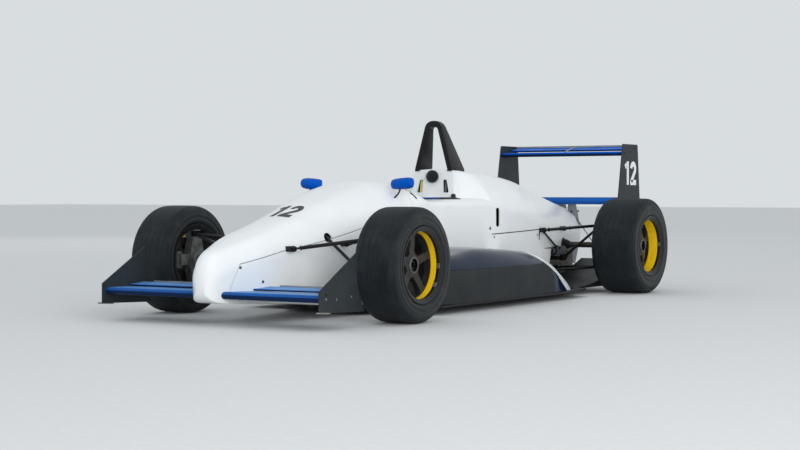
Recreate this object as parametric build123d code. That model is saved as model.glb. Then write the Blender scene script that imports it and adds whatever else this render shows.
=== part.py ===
# Single-seat open wheel racing car, in millimetres.
# While the pieces are made, stations along Y are counted from the front axle, nose towards -Y.
# Z is up from the ground and X is the car's left. The last step moves everything so that the
# origin is at the middle of the car's footprint.
from build123d import *
import math
import os

# Overall sizes
WHEELBASE = 2700.0
FRONT_OVERHANG = 680.0
REAR_OVERHANG = 620.0
GROUND_CLEARANCE = 38.0
RUNNING_GAP = 0.3

# Wheels: the rim flange is that of a 13 inch wheel
FLANGE_R = 182.5
BEAD_R = 165.0
RIM_WALL = 7.0
FRONT_TYRE_R = 273.0
FRONT_TYRE_WIDTH = 230.0
FRONT_TYRE_FACE_X = 786.0
REAR_TYRE_R = 289.0
REAR_TYRE_WIDTH = 282.0
REAR_TYRE_FACE_X = 782.0
TYRE_BULGE = 4.0
TYRE_WALL = 10.0
SPOKES = 5
HUB_RECESS = 52.0
HUB_R = 54.0
HUB_BORE_R = 34.0

# Brakes, hubs and uprights
DISC_R = 112.0
DISC_THICKNESS = 16.0
STUB_R = 22.0
UPRIGHT_THICKNESS = 44.0
KINGPIN_X = 585.0
REAR_UPRIGHT_X = 530.0
BALL_JOINT_RISE = 130.0
LUG_HEIGHT = 20.0
LUG_SLOT = 30.0
BALL_JOINT_DROP = 125.0
STEER_ARM = 95.0
TRACK_ROD_Z = 205.0
CALIPER_GAP = 2.0
DISC_OFFSET = 22.0
DRIVESHAFT_R = 17.0

# Body skins
TUB_WALL = 20.0
COVER_WALL = 5.0
FLOOR_THICKNESS = 10.0
COCKPIT_FRONT = 735.0
COCKPIT_HALF_WIDTH = 235.0
HOOD_END = 705.0
DECK_START = 880.0
DECK_Z = 583.0
TUB_END = 1555.0
SEAT_BULKHEAD = TUB_END - 183.0
TAIL_END = 3170.0

# Wings
FRONT_WING_HALF_SPAN = 632.0
ENDPLATE_THICKNESS = 5.0
GURNEY_SPAN = (205.0, 560.0)
REAR_WING_HALF_SPAN = 441.5
REAR_WING_TOP_Z = 925.0

# Suspension points on the left side: x, station, height
FRONT_UPPER_MOUNTS = ((206, -238, 346), (262, 134, 362))
FRONT_LOWER_MOUNTS = ((192, -200, 118), (248, 160, 112))
REAR_UPPER_MOUNTS = ((300, 2204, 389), (222, 2640, 390))
REAR_LOWER_MOUNTS = ((124, 2380, 130), (112, 2760, 140))
PUSHROD_TOP = (196, 42, 402)
PUSHROD_FOOT = (522, 0, 162)
PUSHROD_HOLE_R = 26.0
PUSHROD_HOLE_DROP = 10.0
PULLROD_TOP = (450, 2684, 410)
PULLROD_FOOT = (206, 2650, 204)
ARM_R = 9.0
ROD_R = 8.0

# Front and rear wing elements: leading edge, trailing edge, thickness and sag
FRONT_MAIN = ((-612.0, 140.0), (-446.0, 155.0), 34.0, 1.0)
FRONT_FLAP = ((-441.0, 161.5), (-340.0, 172.0), 9.0, 1.0)
GURNEY_HEIGHT = 8.0
REAR_GURNEY = (3258.0, 3261.0, 908.0, 924.0)
TYRE_TO_ENDPLATE = 67.0
REAR_MAIN = ((3046.0, 862.0), (3184.0, 877.0), 28.0, 4.0)
REAR_FLAP = ((3178.0, 889.0), (3260.0, 912.0), 14.0, 1.0)
REAR_BEAM = ((3006.0, 557.0), (3180.0, 583.0), 46.0, 3.0)
POST_X = 34.0

# Floor, engine and gearbox
ENGINE_END = 2060.0
GEARBOX_END = 3080.0
OUTPUT_FLANGE_X = 134.0
STARTER_SOCKET_R = 12.5
STARTER_SOCKET_DEPTH = 40.0
STARTER_SOCKET_Z = 250.0
FLOOR_END = 2240.0
FLOOR_PLATE_Z = 43.0
DIFFUSER_END = 3060.0
DIFFUSER_SKIN = 5.0
TUNNEL_TOP_Z = 185.0
TUNNEL_X = (140.0, 470.0)
RADIATOR_Y = 1000.0

# Cockpit fittings
HOOP_TOP_Z = 1020.0
HOOP_FOOT_Z = 745.0
PANEL_FOOT = TUB_END - 155.0
PANEL_HEAD = TUB_END - 100.0
PANEL_HEAD_Z = 748.0
PANEL_THICKNESS = 5.0
HEADREST_R = 36.0
SEAT_HALF_WIDTH = 196.0
SEAT_THICKNESS = 9.0
DASH_Y = 640.0
MIRROR_CENTRE = (286.0, 604.0, 659.0)
MIRROR_WIDTH = 122.0
MIRROR_HEIGHT = 60.0
MIRROR_DEPTH = 52.0

# Steering
STEERING_WHEEL_CENTRE = (0.0, 835.0, 500.0)
COLUMN_R = 12.0
COLUMN_LENGTH = 240.0
RACK_R = 9.0
EYE_R = 16.0
EYE_HOLE_R = 10.6
EYE_HEIGHT = 14.0
PIN_R = 5.0
STEERING_WHEEL_R = 132.0
STEERING_WHEEL_TILT = 22.0

# Cross sections of the tub and the nose, front to back.
# Columns: station, half widths of the floor edge, flank and top, then heights of the floor,
# knee, shoulder and crown.
FRONT_SECTIONS = (
    (-680, 26, 30, 14, 150, 205, 238, 250),
    (-662, 50, 57, 32, 122, 232, 292, 306),
    (-620, 66, 76, 48, 106, 252, 328, 343),
    (-540, 90, 106, 76, 98, 282, 356, 371),
    (-400, 128, 152, 108, 92, 322, 400, 415),
    (-200, 168, 190, 122, 82, 348, 452, 468),
    (0, 200, 222, 132, 66, 374, 512, 528),
    (200, 232, 252, 145, 54, 448, 578, 593),
    (400, 270, 284, 150, 48, 528, 632, 648),
    (600, 298, 298, 138, 48, 572, 664, 682),
    (700, 300, 300, 156, 48, 580, 662, 678),
    (790, 300, 300, 214, 48, 582, 626, 638),
    (DECK_START, 300, 300, 250, 48, 558, 577, DECK_Z),
)

# Cross sections of the engine cover, in the same columns.
REAR_SECTIONS = (
    (PANEL_FOOT - 20, 138, 138, 130, 80, 592, 738, 748),
    (PANEL_HEAD + 10, 150, 150, 131, 80, 592, 738, 748),
    (TUB_END, 300, 300, 150, 80, 590, 728, 747),
    (1600, 300, 300, 150, 80, 588, 726, 746),
    (1850, 297, 298, 140, 80, 572, 712, 733),
    (2144, 276, 282, 118, 80, 528, 684, 706),
    (2376, 238, 250, 100, 80, 482, 640, 662),
    (2600, 196, 210, 82, 80, 436, 592, 613),
    (2817, 152, 168, 62, 80, 402, 548, 570),
    (3000, 116, 132, 48, 80, 376, 514, 535),
    (TAIL_END, 80, 96, 30, 80, 350, 478, 499),
)

# Side view of what belongs to the tub: station, height. The rest of the front is the cover.
TUB_REGION = (
    (-575, -50), (-575, 172), (-520, 281), (-265, 335), (-10, 372), (180, 448), (390, 540),
    (HOOD_END, 622), (HOOD_END, 900), (TUB_END + 50, 900), (TUB_END + 50, -50),
)

# Side view of the engine cover and of the panels below it.
COVER_SEAM = ((TUB_END, 378), (2230, 394), (2300, 276))
PANEL_BOTTOM = ((2250, 160), (1900, 100), (TUB_END, 100))

# Cross sections of the left sidepod, front to back.
# Columns: station, x of the lower edge, of the widest line and of the ridge, then heights of
# the widest line, the ridge and the top where it meets the tub.
POD_SECTIONS = (
    (450, 588, 600, 540, 190, 280, 286),
    (733, 612, 622, 550, 212, 296, 302),
    (970, 618, 626, 550, 220, 318, 324),
    (1196, 618, 626, 548, 218, 308, 320),
    (1433, 616, 622, 540, 212, 292, 308),
    (1632, 606, 612, 530, 204, 276, 292),
    (1745, 604, 608, 522, 180, 246, 268),
    (1860, 590, 588, 512, 138, 200, 230),
    (1970, 572, 566, 500, 100, 150, 184),
    (2070, 548, 540, 480, 76, 104, 134),
    (2160, 520, 510, 455, 62, 72, 86),
)
POD_INNER_X = 240.0
POD_WALL = 4.0

front_axle_z = FRONT_TYRE_R
rear_axle_z = REAR_TYRE_R
floor_z = GROUND_CLEARANCE + FLOOR_THICKNESS
seat_low_z = floor_z + TUB_WALL + RUNNING_GAP
seat_z = seat_low_z + SEAT_THICKNESS
front_flange_x = FRONT_TYRE_FACE_X - TYRE_BULGE
rear_flange_x = REAR_TYRE_FACE_X - TYRE_BULGE
front_rim_width = FRONT_TYRE_WIDTH - 2 * TYRE_BULGE
rear_rim_width = REAR_TYRE_WIDTH - 2 * TYRE_BULGE


def corner_radii(points, shares):
    """Radius at each corner of a closed outline, as a share of its shorter side."""
    radii = []
    for index, share in enumerate(shares):
        before = Vector(*points[index - 1])
        here = Vector(*points[index])
        after = Vector(*points[(index + 1) % len(points)])
        turn = math.radians((here - before).get_angle(after - here))
        side = min((here - before).length, (after - here).length)
        radii.append(share * side / math.tan(turn / 2) if turn > 0.01 else 0)
    return radii


def rounded_face(points, shares):
    """Flat face with its corners rounded by shares of its sides."""
    return make_face(FilletPolyline(*points, radius=corner_radii(points, shares), close=True))


def body_section(row, inset):
    """Closed cross section of the body skin, moved inwards by inset."""
    station, low_x, flank_x, top_x, low_z, knee_z, shoulder_z, crown_z = row
    half = [
        (low_x - inset, low_z + inset),
        (flank_x - inset, knee_z - 0.4 * inset),
        (top_x - 0.4 * inset, shoulder_z - 0.9 * inset),
    ]
    outline = half + [(0, crown_z - inset)] + [(-x, z) for x, z in reversed(half)]
    points = [(x, station, z) for x, z in outline]
    shares = [0.06, 0.4, 0.44, 0.44, 0.44, 0.4, 0.06]
    return rounded_face(points, shares)


def lofted_body(rows, inset):
    """Solid through the sections of a table, its two ends moved inwards as well."""
    rows = [list(row) for row in rows]
    rows[0][0] += inset
    return loft([body_section(row, inset) for row in rows], ruled=True)


def side_prism(points, half_width=450.0):
    """Side view outline pushed out to both sides of the car."""
    face = make_face(Polyline(*[(0, y, z) for y, z in points], close=True))
    return extrude(face, amount=half_width, dir=(1, 0, 0), both=True)


def front_body(inset):
    """Nose and tub as one solid, from the nose tip to the bulkhead before the engine."""
    nose = lofted_body(FRONT_SECTIONS, inset)
    last = FRONT_SECTIONS[-1]
    cabin = extrude(body_section(last, inset), amount=TUB_END - DECK_START, dir=(0, 1, 0))
    return nose + cabin


def box_between(low, high):
    """Box from its lowest to its highest corner."""
    size = [b - a for a, b in zip(low, high)]
    return Pos(*low) * Box(*size, align=(Align.MIN, Align.MIN, Align.MIN))


def tube_between(start, end, radius):
    """Round bar from one point to another."""
    start, end = Vector(*start), Vector(*end)
    direction = (end - start).normalized()
    face = Plane(origin=start, z_dir=direction) * Circle(radius)
    return extrude(face, amount=(end - start).length, dir=direction)


def x_cylinder(radius, x_low, x_high, y, z):
    """Cylinder along the car's width."""
    return Pos((x_low + x_high) / 2, y, z) * Rot(0, 90, 0) * Cylinder(radius, x_high - x_low)


def on_both_sides(shape):
    """A piece and its mirror image across the car's middle."""
    return [shape, mirror(shape, about=Plane.YZ)]


def revolve_about_axle(points, y, z):
    """Solid of revolution about the axle from an outline of (x, radius) points."""
    face = make_face(Polyline(*[(x, y, z + r) for x, r in points], close=True))
    return revolve(face, axis=Axis((0, y, z), (1, 0, 0)))


# Nose, tub and cockpit
def make_nose_cover(body):
    skin = body - front_body(COVER_WALL)
    above = side_prism(TUB_REGION)
    ahead = box_between((-450, -800, -60), (450, HOOD_END, 950))
    cover = (skin & ahead) - above
    for hole in pushrod_holes():
        cover -= hole
    return cover


def cockpit_cut():
    """Space above the cockpit rim, rounded at the front."""
    wide = COCKPIT_HALF_WIDTH
    points = [
        (wide, COCKPIT_FRONT, 0), (wide, SEAT_BULKHEAD - 60, 0),
        (-wide, SEAT_BULKHEAD - 60, 0), (-wide, COCKPIT_FRONT, 0),
    ]
    face = make_face(FilletPolyline(*points, radius=[190, 30, 30, 190], close=True))
    return extrude(Pos(0, 0, 480) * face, amount=400)


def make_monocoque(body):
    outer = body & side_prism(TUB_REGION)
    hollow = front_body(TUB_WALL)
    foot_well = hollow & box_between((-400, -500, 0), (400, SEAT_BULKHEAD, 900))
    tank_bay = hollow & box_between((-400, SEAT_BULKHEAD + 20, 0), (400, TUB_END - 20, 900))
    tub = outer - foot_well - tank_bay - cockpit_cut()
    tub -= box_between((-400, 0, 0), (400, TUB_END + 10, floor_z + RUNNING_GAP))
    for hole in pushrod_holes() + on_both_sides(x_cylinder(16, 150, 300, STEER_ARM, TRACK_ROD_Z)):
        tub -= hole
    return tub


def pushrod_holes():
    """Round openings where the front pushrods enter the body."""
    y, z = PUSHROD_TOP[1:]
    return on_both_sides(x_cylinder(PUSHROD_HOLE_R, 120, 320, y, z - PUSHROD_HOLE_DROP))


# Wheels
def make_rim(flange_x, width, y, z, hub_recess):
    outer, inner = flange_x, flange_x - width
    wall = RIM_WALL
    well_r = BEAD_R - 16
    barrel = revolve_about_axle([
        (outer, FLANGE_R - 8), (outer, FLANGE_R), (outer - 8, FLANGE_R), (outer - 14, BEAD_R),
        (outer - 50, BEAD_R), (outer - 62, well_r), (inner + 100, well_r), (inner + 88, BEAD_R),
        (inner + 14, BEAD_R), (inner + 8, FLANGE_R), (inner, FLANGE_R), (inner, FLANGE_R - 8),
        (inner + 12, BEAD_R - wall), (inner + 86, BEAD_R - wall), (inner + 98, well_r - wall),
        (outer - 62, well_r - wall), (outer - 50, BEAD_R - wall), (outer - 12, BEAD_R - wall),
    ], y, z)
    face_x = outer - hub_recess
    back_x = face_x - 42
    rim_x = outer - 40
    centre = revolve_about_axle([
        (face_x, HUB_BORE_R), (face_x, HUB_R), (face_x - 14, HUB_R + 6), (rim_x - 12, 132),
        (rim_x, well_r - 2), (rim_x - 30, well_r - 2), (rim_x - 34, 128), (back_x, HUB_R + 4),
        (back_x, HUB_BORE_R),
    ], y, z)
    windows = []
    for index in range(SPOKES):
        turn = 360 / SPOKES * index + 36
        points = []
        for radius, angle in ((66, -21), (66, 21), (132, 25), (146, 0), (132, -25)):
            bearing = math.radians(angle)
            points.append((0, radius * math.sin(bearing), radius * math.cos(bearing)))
        face = make_face(FilletPolyline(*points, radius=[9, 9, 16, 60, 16], close=True))
        window = extrude(face, amount=200, dir=(1, 0, 0))
        windows.append(Pos(outer - 150, y, z) * Rot(turn, 0, 0) * window)
    for window in windows:
        centre -= window
    floor_disc = x_cylinder(HUB_BORE_R + 4, back_x, back_x + 10, y, z)
    return barrel + centre + floor_disc


def make_tyre(radius, width, face_x, y, z):
    middle = face_x - width / 2
    half = width / 2
    bead_x = half - TYRE_BULGE - 14.6
    wall = TYRE_WALL
    outer = [(bead_x, BEAD_R + 0.4), (bead_x + 6, FLANGE_R + 0.6), (half, FLANGE_R + 18)]
    outer += [(half, radius - 2)]
    inner = [(bead_x - wall, BEAD_R + 0.4), (half - wall, FLANGE_R + 16)]
    inner += [(half - wall, radius - wall - 3)]
    points = [(middle + x, r) for x, r in outer]
    points += [(middle, radius)]
    points += [(middle - x, r) for x, r in reversed(outer)]
    points += [(middle - x, r) for x, r in inner]
    points += [(middle + x, r) for x, r in reversed(inner)]
    rounding = [0, 6, 14, 30, 0, 30, 14, 6, 0, 0, 0, 0, 0, 0, 0]
    outline = [(x, y, z + r) for x, r in points]
    face = make_face(FilletPolyline(*outline, radius=rounding, close=True))
    return revolve(face, axis=Axis((0, y, z), (1, 0, 0)))


def make_hub(flange_x, hub_recess, upright_x, y, z, shaft_x):
    """Brake disc, its bell and the stub axle, which turn with the wheel."""
    rim_back = flange_x - hub_recess - 42
    upright_face = upright_x + UPRIGHT_THICKNESS / 2
    disc_x = upright_face + DISC_OFFSET
    ring = revolve_about_axle([
        (disc_x, 78), (disc_x, DISC_R), (disc_x + DISC_THICKNESS, DISC_R),
        (disc_x + DISC_THICKNESS, 78),
    ], y, z)
    bell = revolve_about_axle([
        (disc_x + 4, 79), (disc_x + 4, 74), (rim_back - 8, 60), (rim_back - 8, 0),
        (rim_back, 0), (rim_back, 62), (disc_x + 12, 82), (disc_x + 4, 82),
    ], y, z)
    stub = x_cylinder(STUB_R, upright_x - UPRIGHT_THICKNESS / 2 - 14, rim_back - 4, y, z)
    if shaft_x < upright_x - UPRIGHT_THICKNESS:
        stub += x_cylinder(DRIVESHAFT_R, shaft_x, upright_x, y, z)
        for x in (shaft_x + 26, upright_x - UPRIGHT_THICKNESS / 2 - 40):
            stub += x_cylinder(34, x - 26, x + 24, y, z)
    return ring + bell + stub


def make_upright(x, y, z):
    """Cast upright with its bearing housing and two ball joint lugs."""
    half = UPRIGHT_THICKNESS / 2
    top = z + BALL_JOINT_RISE
    bottom = z - BALL_JOINT_DROP
    profile = [
        (x, y - 50, z - 40), (x, y - 24, bottom - LUG_HEIGHT), (x, y + 24, bottom - LUG_HEIGHT),
        (x, y + 50, z - 40), (x, y + 50, z + 40), (x, y + 24, top + LUG_HEIGHT),
        (x, y - 24, top + LUG_HEIGHT), (x, y - 50, z + 40),
    ]
    face = make_face(FilletPolyline(*profile, radius=[24, 9, 9, 24, 24, 9, 9, 24], close=True))
    body = extrude(face, amount=half, dir=(1, 0, 0), both=True)
    body += x_cylinder(46, x - half - 12, x + half + 6, y, z)
    for height in (top, bottom):
        low = (x - half - 20, y - 40, height - LUG_SLOT / 2)
        body -= box_between(low, (x + half - 8, y + 40, height + LUG_SLOT / 2))
    body -= x_cylinder(STUB_R + 0.08, x - half - 30, x + half + 30, y, z)
    return body


def make_caliper(x, y, z, side):
    """Brake caliper over the disc, behind the axle for side 1 and before it for side -1."""
    disc_x = x + UPRIGHT_THICKNESS / 2 + DISC_OFFSET
    far_x = disc_x + DISC_THICKNESS + CALIPER_GAP + 14
    near, far = sorted((y + side * 90, y + side * 128))
    block = box_between((x + 8, near, z - 42), (far_x, far, z + 42))
    room_low, room_high = disc_x - CALIPER_GAP, disc_x + DISC_THICKNESS + CALIPER_GAP
    disc_room = x_cylinder(DISC_R + 3, room_low, room_high, y, z)
    near, far = sorted((y + side * 40, y + side * 110))
    arm = box_between((x - 10, near, z - 28), (x + 20, far, z + 28))
    return block - disc_room + arm


def make_wishbone(outer, mounts, tub, gusset_x=None):
    """Two arms from a ball joint to clevises on the body, for the left side."""
    x, y, z = outer
    arm = Pos(x, y, z) * Cylinder(12, LUG_SLOT - 4)
    for mount in mounts:
        arm += tube_between(mount, outer, ARM_R)
        arm += Pos(*mount) * Box(26, 22, 30)
        arm += box_between((mount[0] - 60, mount[1] - 14, mount[2] - 15),
                           (mount[0] + 2, mount[1] + 14, mount[2] + 15))
    if gusset_x:
        arm += box_between((gusset_x - 26, y - 32, z - 12), (gusset_x + 26, y + 32, z - 2))
    return biggest(arm - tub)


def biggest(shape):
    """The largest solid of a shape that a cut has divided."""
    return max(shape.solids(), key=lambda solid: solid.volume)


def make_front_suspension(body):
    top = (KINGPIN_X, 0, front_axle_z + BALL_JOINT_RISE)
    bottom = (KINGPIN_X, 0, front_axle_z - BALL_JOINT_DROP)
    upper = make_wishbone(top, FRONT_UPPER_MOUNTS, body)
    lower = make_wishbone(bottom, FRONT_LOWER_MOUNTS, body, PUSHROD_FOOT[0])
    plate_top = bottom[2] - 2
    rod = tube_between(PUSHROD_FOOT, PUSHROD_TOP, ROD_R)
    foot_x, foot_y, foot_z = PUSHROD_FOOT
    foot = box_between((foot_x - 14, foot_y - 7, plate_top + RUNNING_GAP),
                       (foot_x + 14, foot_y + 7, foot_z + 8))
    return on_both_sides(upper) + on_both_sides(lower), on_both_sides(rod + foot)


def make_rear_suspension(body, gearbox):
    top = (REAR_UPRIGHT_X, WHEELBASE, rear_axle_z + BALL_JOINT_RISE)
    bottom = (REAR_UPRIGHT_X, WHEELBASE, rear_axle_z - BALL_JOINT_DROP)
    upper = make_wishbone(top, REAR_UPPER_MOUNTS, body)
    lower = make_wishbone(bottom, REAR_LOWER_MOUNTS, gearbox)
    rod = tube_between(PULLROD_FOOT, PULLROD_TOP, ROD_R)
    for mount in REAR_UPPER_MOUNTS:
        rod -= tube_between(mount, top, ARM_R + RUNNING_GAP)
    rod = biggest(rod)
    x, y, z = PULLROD_FOOT
    rocker = Pos(x, y, z) * Box(24, 40, 44)
    rocker += box_between((60, y - 16, z - 18), (x, y + 16, z + 18))
    damper = Pos(x + 22, y - 110, z + 26) * Rot(90, 0, 0) * Cylinder(24, 190)
    damper += box_between((60, y - 190, z + 10), (x + 20, y - 160, z + 40))
    damper += box_between((x - 12, y - 24, z), (x + 34, y - 10, z + 40))
    unit = biggest(rod + rocker + damper - gearbox)
    return on_both_sides(upper) + on_both_sides(lower), on_both_sides(unit)


# Engine, gearbox and floor
def make_engine():
    return box_between((-170, TUB_END, 90), (170, ENGINE_END, 520))


def make_gearbox():
    sections = ((ENGINE_END, 150, 100, 390), (2350, 95, 60, 370), (GEARBOX_END, 70, 60, 330))
    faces = []
    for station, half_width, low, high in sections:
        points = [(half_width, station, low), (half_width, station, high),
                  (-half_width, station, high), (-half_width, station, low)]
        faces.append(rounded_face(points, [0.12] * 4))
    case = loft(faces, ruled=True)
    case += x_cylinder(56, -OUTPUT_FLANGE_X, OUTPUT_FLANGE_X, WHEELBASE, rear_axle_z)
    case += box_between((-40, 2400, FLOOR_PLATE_Z + RUNNING_GAP), (40, 2900, 70))
    socket = Rot(90, 0, 0) * Cylinder(STARTER_SOCKET_R, 2 * STARTER_SOCKET_DEPTH)
    return case - Pos(0, GEARBOX_END, STARTER_SOCKET_Z) * socket


def make_undertray():
    half = [(250, 300), (300, 420), (600, 470), (606, 1730), (600, 2060), (560, FLOOR_END)]
    points = [(x, y, GROUND_CLEARANCE) for x, y in half]
    points += [(-x, y, GROUND_CLEARANCE) for x, y in reversed(half)]
    return extrude(make_face(Polyline(*points, close=True)), amount=FLOOR_THICKNESS)


def make_diffuser():
    """Two rising tunnels beside the gearbox, with their fences and the middle plate."""
    low, top = GROUND_CLEARANCE, TUNNEL_TOP_Z
    start, end = FLOOR_END + RUNNING_GAP, DIFFUSER_END
    middle = (start + end) / 2
    bend_z = low + 0.26 * (top - low)
    roof_line = ThreePointArc((0, start, low), (0, middle, bend_z), (0, end, top))
    upper_line = Pos(0, 0, DIFFUSER_SKIN) * roof_line
    ends = [Line((0, start, low), (0, start, low + DIFFUSER_SKIN)),
            Line((0, end, top), (0, end, top + DIFFUSER_SKIN))]
    roof_face = make_face(Wire([roof_line, ends[1], upper_line, ends[0]]))
    fence_face = make_face(Wire([roof_line, Line((0, end, top), (0, end, low)),
                                 Line((0, end, low), (0, start, low))]))
    inner_x, outer_x = TUNNEL_X
    tunnel = extrude(Pos(inner_x, 0, 0) * roof_face, amount=outer_x - inner_x, dir=(1, 0, 0))
    for x in (inner_x, outer_x - DIFFUSER_SKIN):
        tunnel += extrude(Pos(x, 0, 0) * fence_face, amount=DIFFUSER_SKIN, dir=(1, 0, 0))
    plate = box_between((-inner_x - 2, start, low), (inner_x + 2, 2950, FLOOR_PLATE_Z))
    left, right = on_both_sides(tunnel)
    return left + right + plate


# Sidepods
def pod_section(row, inset):
    station, low_x, wide_x, ridge_x, wide_z, ridge_z, top_z = row
    bottom = floor_z + RUNNING_GAP if inset == 0 else floor_z - 10
    inner = POD_INNER_X if inset == 0 else POD_INNER_X - 20
    points = [
        (inner, station, bottom), (low_x - inset, station, bottom),
        (wide_x - inset, station, wide_z), (ridge_x - 0.6 * inset, station, ridge_z - inset),
        (inner, station, top_z - inset),
    ]
    return rounded_face(points, [0, 0.05, 0.42, 0.42, 0])


def pod_solid(inset, front_shift=0.0):
    rows = [list(row) for row in POD_SECTIONS]
    rows[0][0] -= front_shift
    rows[-1][0] -= inset
    return loft([pod_section(row, inset) for row in rows], ruled=True)


def make_sidepod(body, engine_bay):
    shell = pod_solid(0) - pod_solid(POD_WALL, front_shift=10)
    return biggest(shell - body - engine_bay)


def make_radiator(body):
    core = Pos(430, RADIATOR_Y, 160) * Rot(0, 0, -12) * Box(330, 50, 210)
    core = core & pod_solid(POD_WALL + RUNNING_GAP, front_shift=10)
    core -= box_between((0, 0, 0), (700, 3000, floor_z + RUNNING_GAP))
    return biggest(core - body)


# Wings
def wing_face(lead, trail, thickness, sag):
    """Side view of a wing: round leading edge, thin trailing edge, hollow upper face."""
    lead, trail = Vector(0, *lead), Vector(0, *trail)
    along = (trail - lead).normalized()
    up = Vector(0, -along.Z, along.Y)
    chord = (trail - lead).length
    radius = thickness / 2
    centre = lead + along * radius
    top, bottom = centre + up * radius, centre - up * radius
    middle = lead + along * (0.5 * chord)
    upper = ThreePointArc(top, middle + up * (0.62 * radius - sag), trail + up * 1.0)
    tail = Line(trail + up * 1.0, trail - up * 1.0)
    lower = ThreePointArc(trail - up * 1.0, middle - up * (0.62 * radius + sag), bottom)
    nose = ThreePointArc(bottom, lead, top)
    return make_face(Wire([upper, tail, lower, nose]))


def wing_bar(lead, trail, thickness, sag, x_low, x_high):
    face = Pos(x_low, 0, 0) * wing_face(lead, trail, thickness, sag)
    return extrude(face, amount=x_high - x_low, dir=(1, 0, 0))


def make_front_wing(body):
    tip = FRONT_WING_HALF_SPAN - ENDPLATE_THICKNESS
    main = wing_bar(*FRONT_MAIN, 20, tip)
    main = biggest(main - body)
    flap = wing_bar(*FRONT_FLAP, 20, tip)
    trail_y, trail_z = FRONT_FLAP[1]
    gurney = box_between((GURNEY_SPAN[0], trail_y - 3, trail_z - 2),
                         (GURNEY_SPAN[1], trail_y, trail_z + GURNEY_HEIGHT))
    flap = biggest(flap + gurney - body)
    return on_both_sides(main), on_both_sides(flap)


def make_front_endplate():
    """Plate whose rear edge follows the tyre at a constant distance."""
    reach = FRONT_TYRE_R + TYRE_TO_ENDPLATE
    front, low, shoulder_z, top_z = -636.0, 83.0, 178.0, 345.0
    heel_z = 70.0
    top_y = -math.sqrt(reach ** 2 - (top_z - front_axle_z) ** 2)
    heel_y = -math.sqrt(reach ** 2 - (heel_z - front_axle_z) ** 2)
    x = FRONT_WING_HALF_SPAN - ENDPLATE_THICKNESS
    edges = [
        Line((x, front, low), (x, front, shoulder_z)),
        Line((x, front, shoulder_z), (x, top_y, top_z)),
        ThreePointArc((x, top_y, top_z), (x, -reach, front_axle_z), (x, heel_y, heel_z)),
        Line((x, heel_y, heel_z), (x, front, low)),
    ]
    return extrude(make_face(Wire(edges)), amount=ENDPLATE_THICKNESS, dir=(1, 0, 0))


def make_rear_wing():
    inside = REAR_WING_HALF_SPAN - ENDPLATE_THICKNESS
    main = wing_bar(*REAR_MAIN, -inside, inside)
    flap = wing_bar(*REAR_FLAP, -inside, inside)
    near, far, low, high = REAR_GURNEY
    flap += box_between((-inside, near, low), (inside, far, high))
    beam = wing_bar(*REAR_BEAM, -inside, inside)
    plate_line = [(3040, REAR_WING_TOP_Z), (3275, REAR_WING_TOP_Z), (3308, 585)]
    plate_line += [(WHEELBASE + REAR_OVERHANG, 470), (2985, 470), (2970, 585)]
    points = [(inside, y, z) for y, z in plate_line]
    face = make_face(FilletPolyline(*points, radius=[14, 14, 0, 0, 20, 60], close=True))
    plate = extrude(face, amount=ENDPLATE_THICKNESS, dir=(1, 0, 0))
    return [main, flap], beam, on_both_sides(plate)


def make_wing_post(beam):
    """Two plates from the gearbox's end, through the cover, up to the lower wing."""
    start = GEARBOX_END + RUNNING_GAP
    side = [(start, 150), (3180, 150), (3250, 300), (3250, 400), (3176, 572), (start, 556)]
    face = make_face(Polyline(*[(POST_X, y, z) for y, z in side], close=True))
    plate = extrude(face, amount=6, dir=(1, 0, 0))
    return on_both_sides(biggest(plate - beam))


def make_wing_stays(diffuser):
    rod = tube_between((POST_X + 10, 3200, 440), (402, 2962, 120), 4)
    return on_both_sides(biggest(rod - diffuser))


# Cockpit
def make_roll_hoop(margin=0.0):
    """Broad A shaped hoop: its front view pushed back, within its side view.

    Inside the engine cover its legs go straight down, behind the headrest panel."""
    base, foot, top = DECK_Z - 12 - margin, HOOP_FOOT_Z, HOOP_TOP_Z + margin
    outer = [(120 + margin, base), (120 + margin, foot), (44 + margin, top)]
    inner = [(92 - margin, base - 1), (92 - margin, foot), (26 - margin, HOOP_TOP_Z - 34)]
    faces = []
    for half, rounding in ((outer, [0, 60, 34, 34, 60, 0]), (inner, [0, 60, 14, 14, 60, 0])):
        points = half + [(-x, z) for x, z in reversed(half)]
        points = [(x, TUB_END - 300, z) for x, z in points]
        faces.append(make_face(FilletPolyline(*points, radius=rounding, close=True)))
    front_view = extrude(faces[0], amount=400, dir=(0, 1, 0))
    front_view -= extrude(faces[1], amount=400, dir=(0, 1, 0))
    side = [(-78 - margin, base), (-5 + margin, base), (0 + margin, foot),
            (-103 + margin, HOOP_TOP_Z - 20), (-112 + margin, top), (-141 - margin, top),
            (-147 - margin, HOOP_TOP_Z - 20), (-147 - margin, foot + 7 - margin),
            (-78 - margin, foot + 7 - margin)]
    return front_view & side_prism([(TUB_END + y, z) for y, z in side])


def make_engine_cover(shell, body):
    region = [(PANEL_FOOT, DECK_Z - 40), (TUB_END + 0.3, DECK_Z - 40)]
    region += [(y, z + 0.3) for y, z in COVER_SEAM]
    region += [(3105, 276), (3200, 480), (3200, 800), (PANEL_HEAD + 2, 800)]
    region += [(PANEL_HEAD, PANEL_HEAD_Z)]
    cover = shell & side_prism(region)
    cover -= make_roll_hoop(2.0)
    cover -= x_cylinder(44, -300, 300, WHEELBASE, rear_axle_z)
    slot = box_between((POST_X - 2, GEARBOX_END - 6, 250), (POST_X + 8, TAIL_END + 60, 700))
    for opening in on_both_sides(slot):
        cover -= opening
    return biggest(cover - body)


def make_engine_panels(shell):
    region = [(TUB_END + 0.3, COVER_SEAM[0][1] - 0.3)]
    region += [(y, z - 0.3) for y, z in COVER_SEAM[1:]]
    region += list(PANEL_BOTTOM[:2]) + [(TUB_END + 0.3, PANEL_BOTTOM[2][1])]
    return (shell & side_prism(region)).solids()


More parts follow.
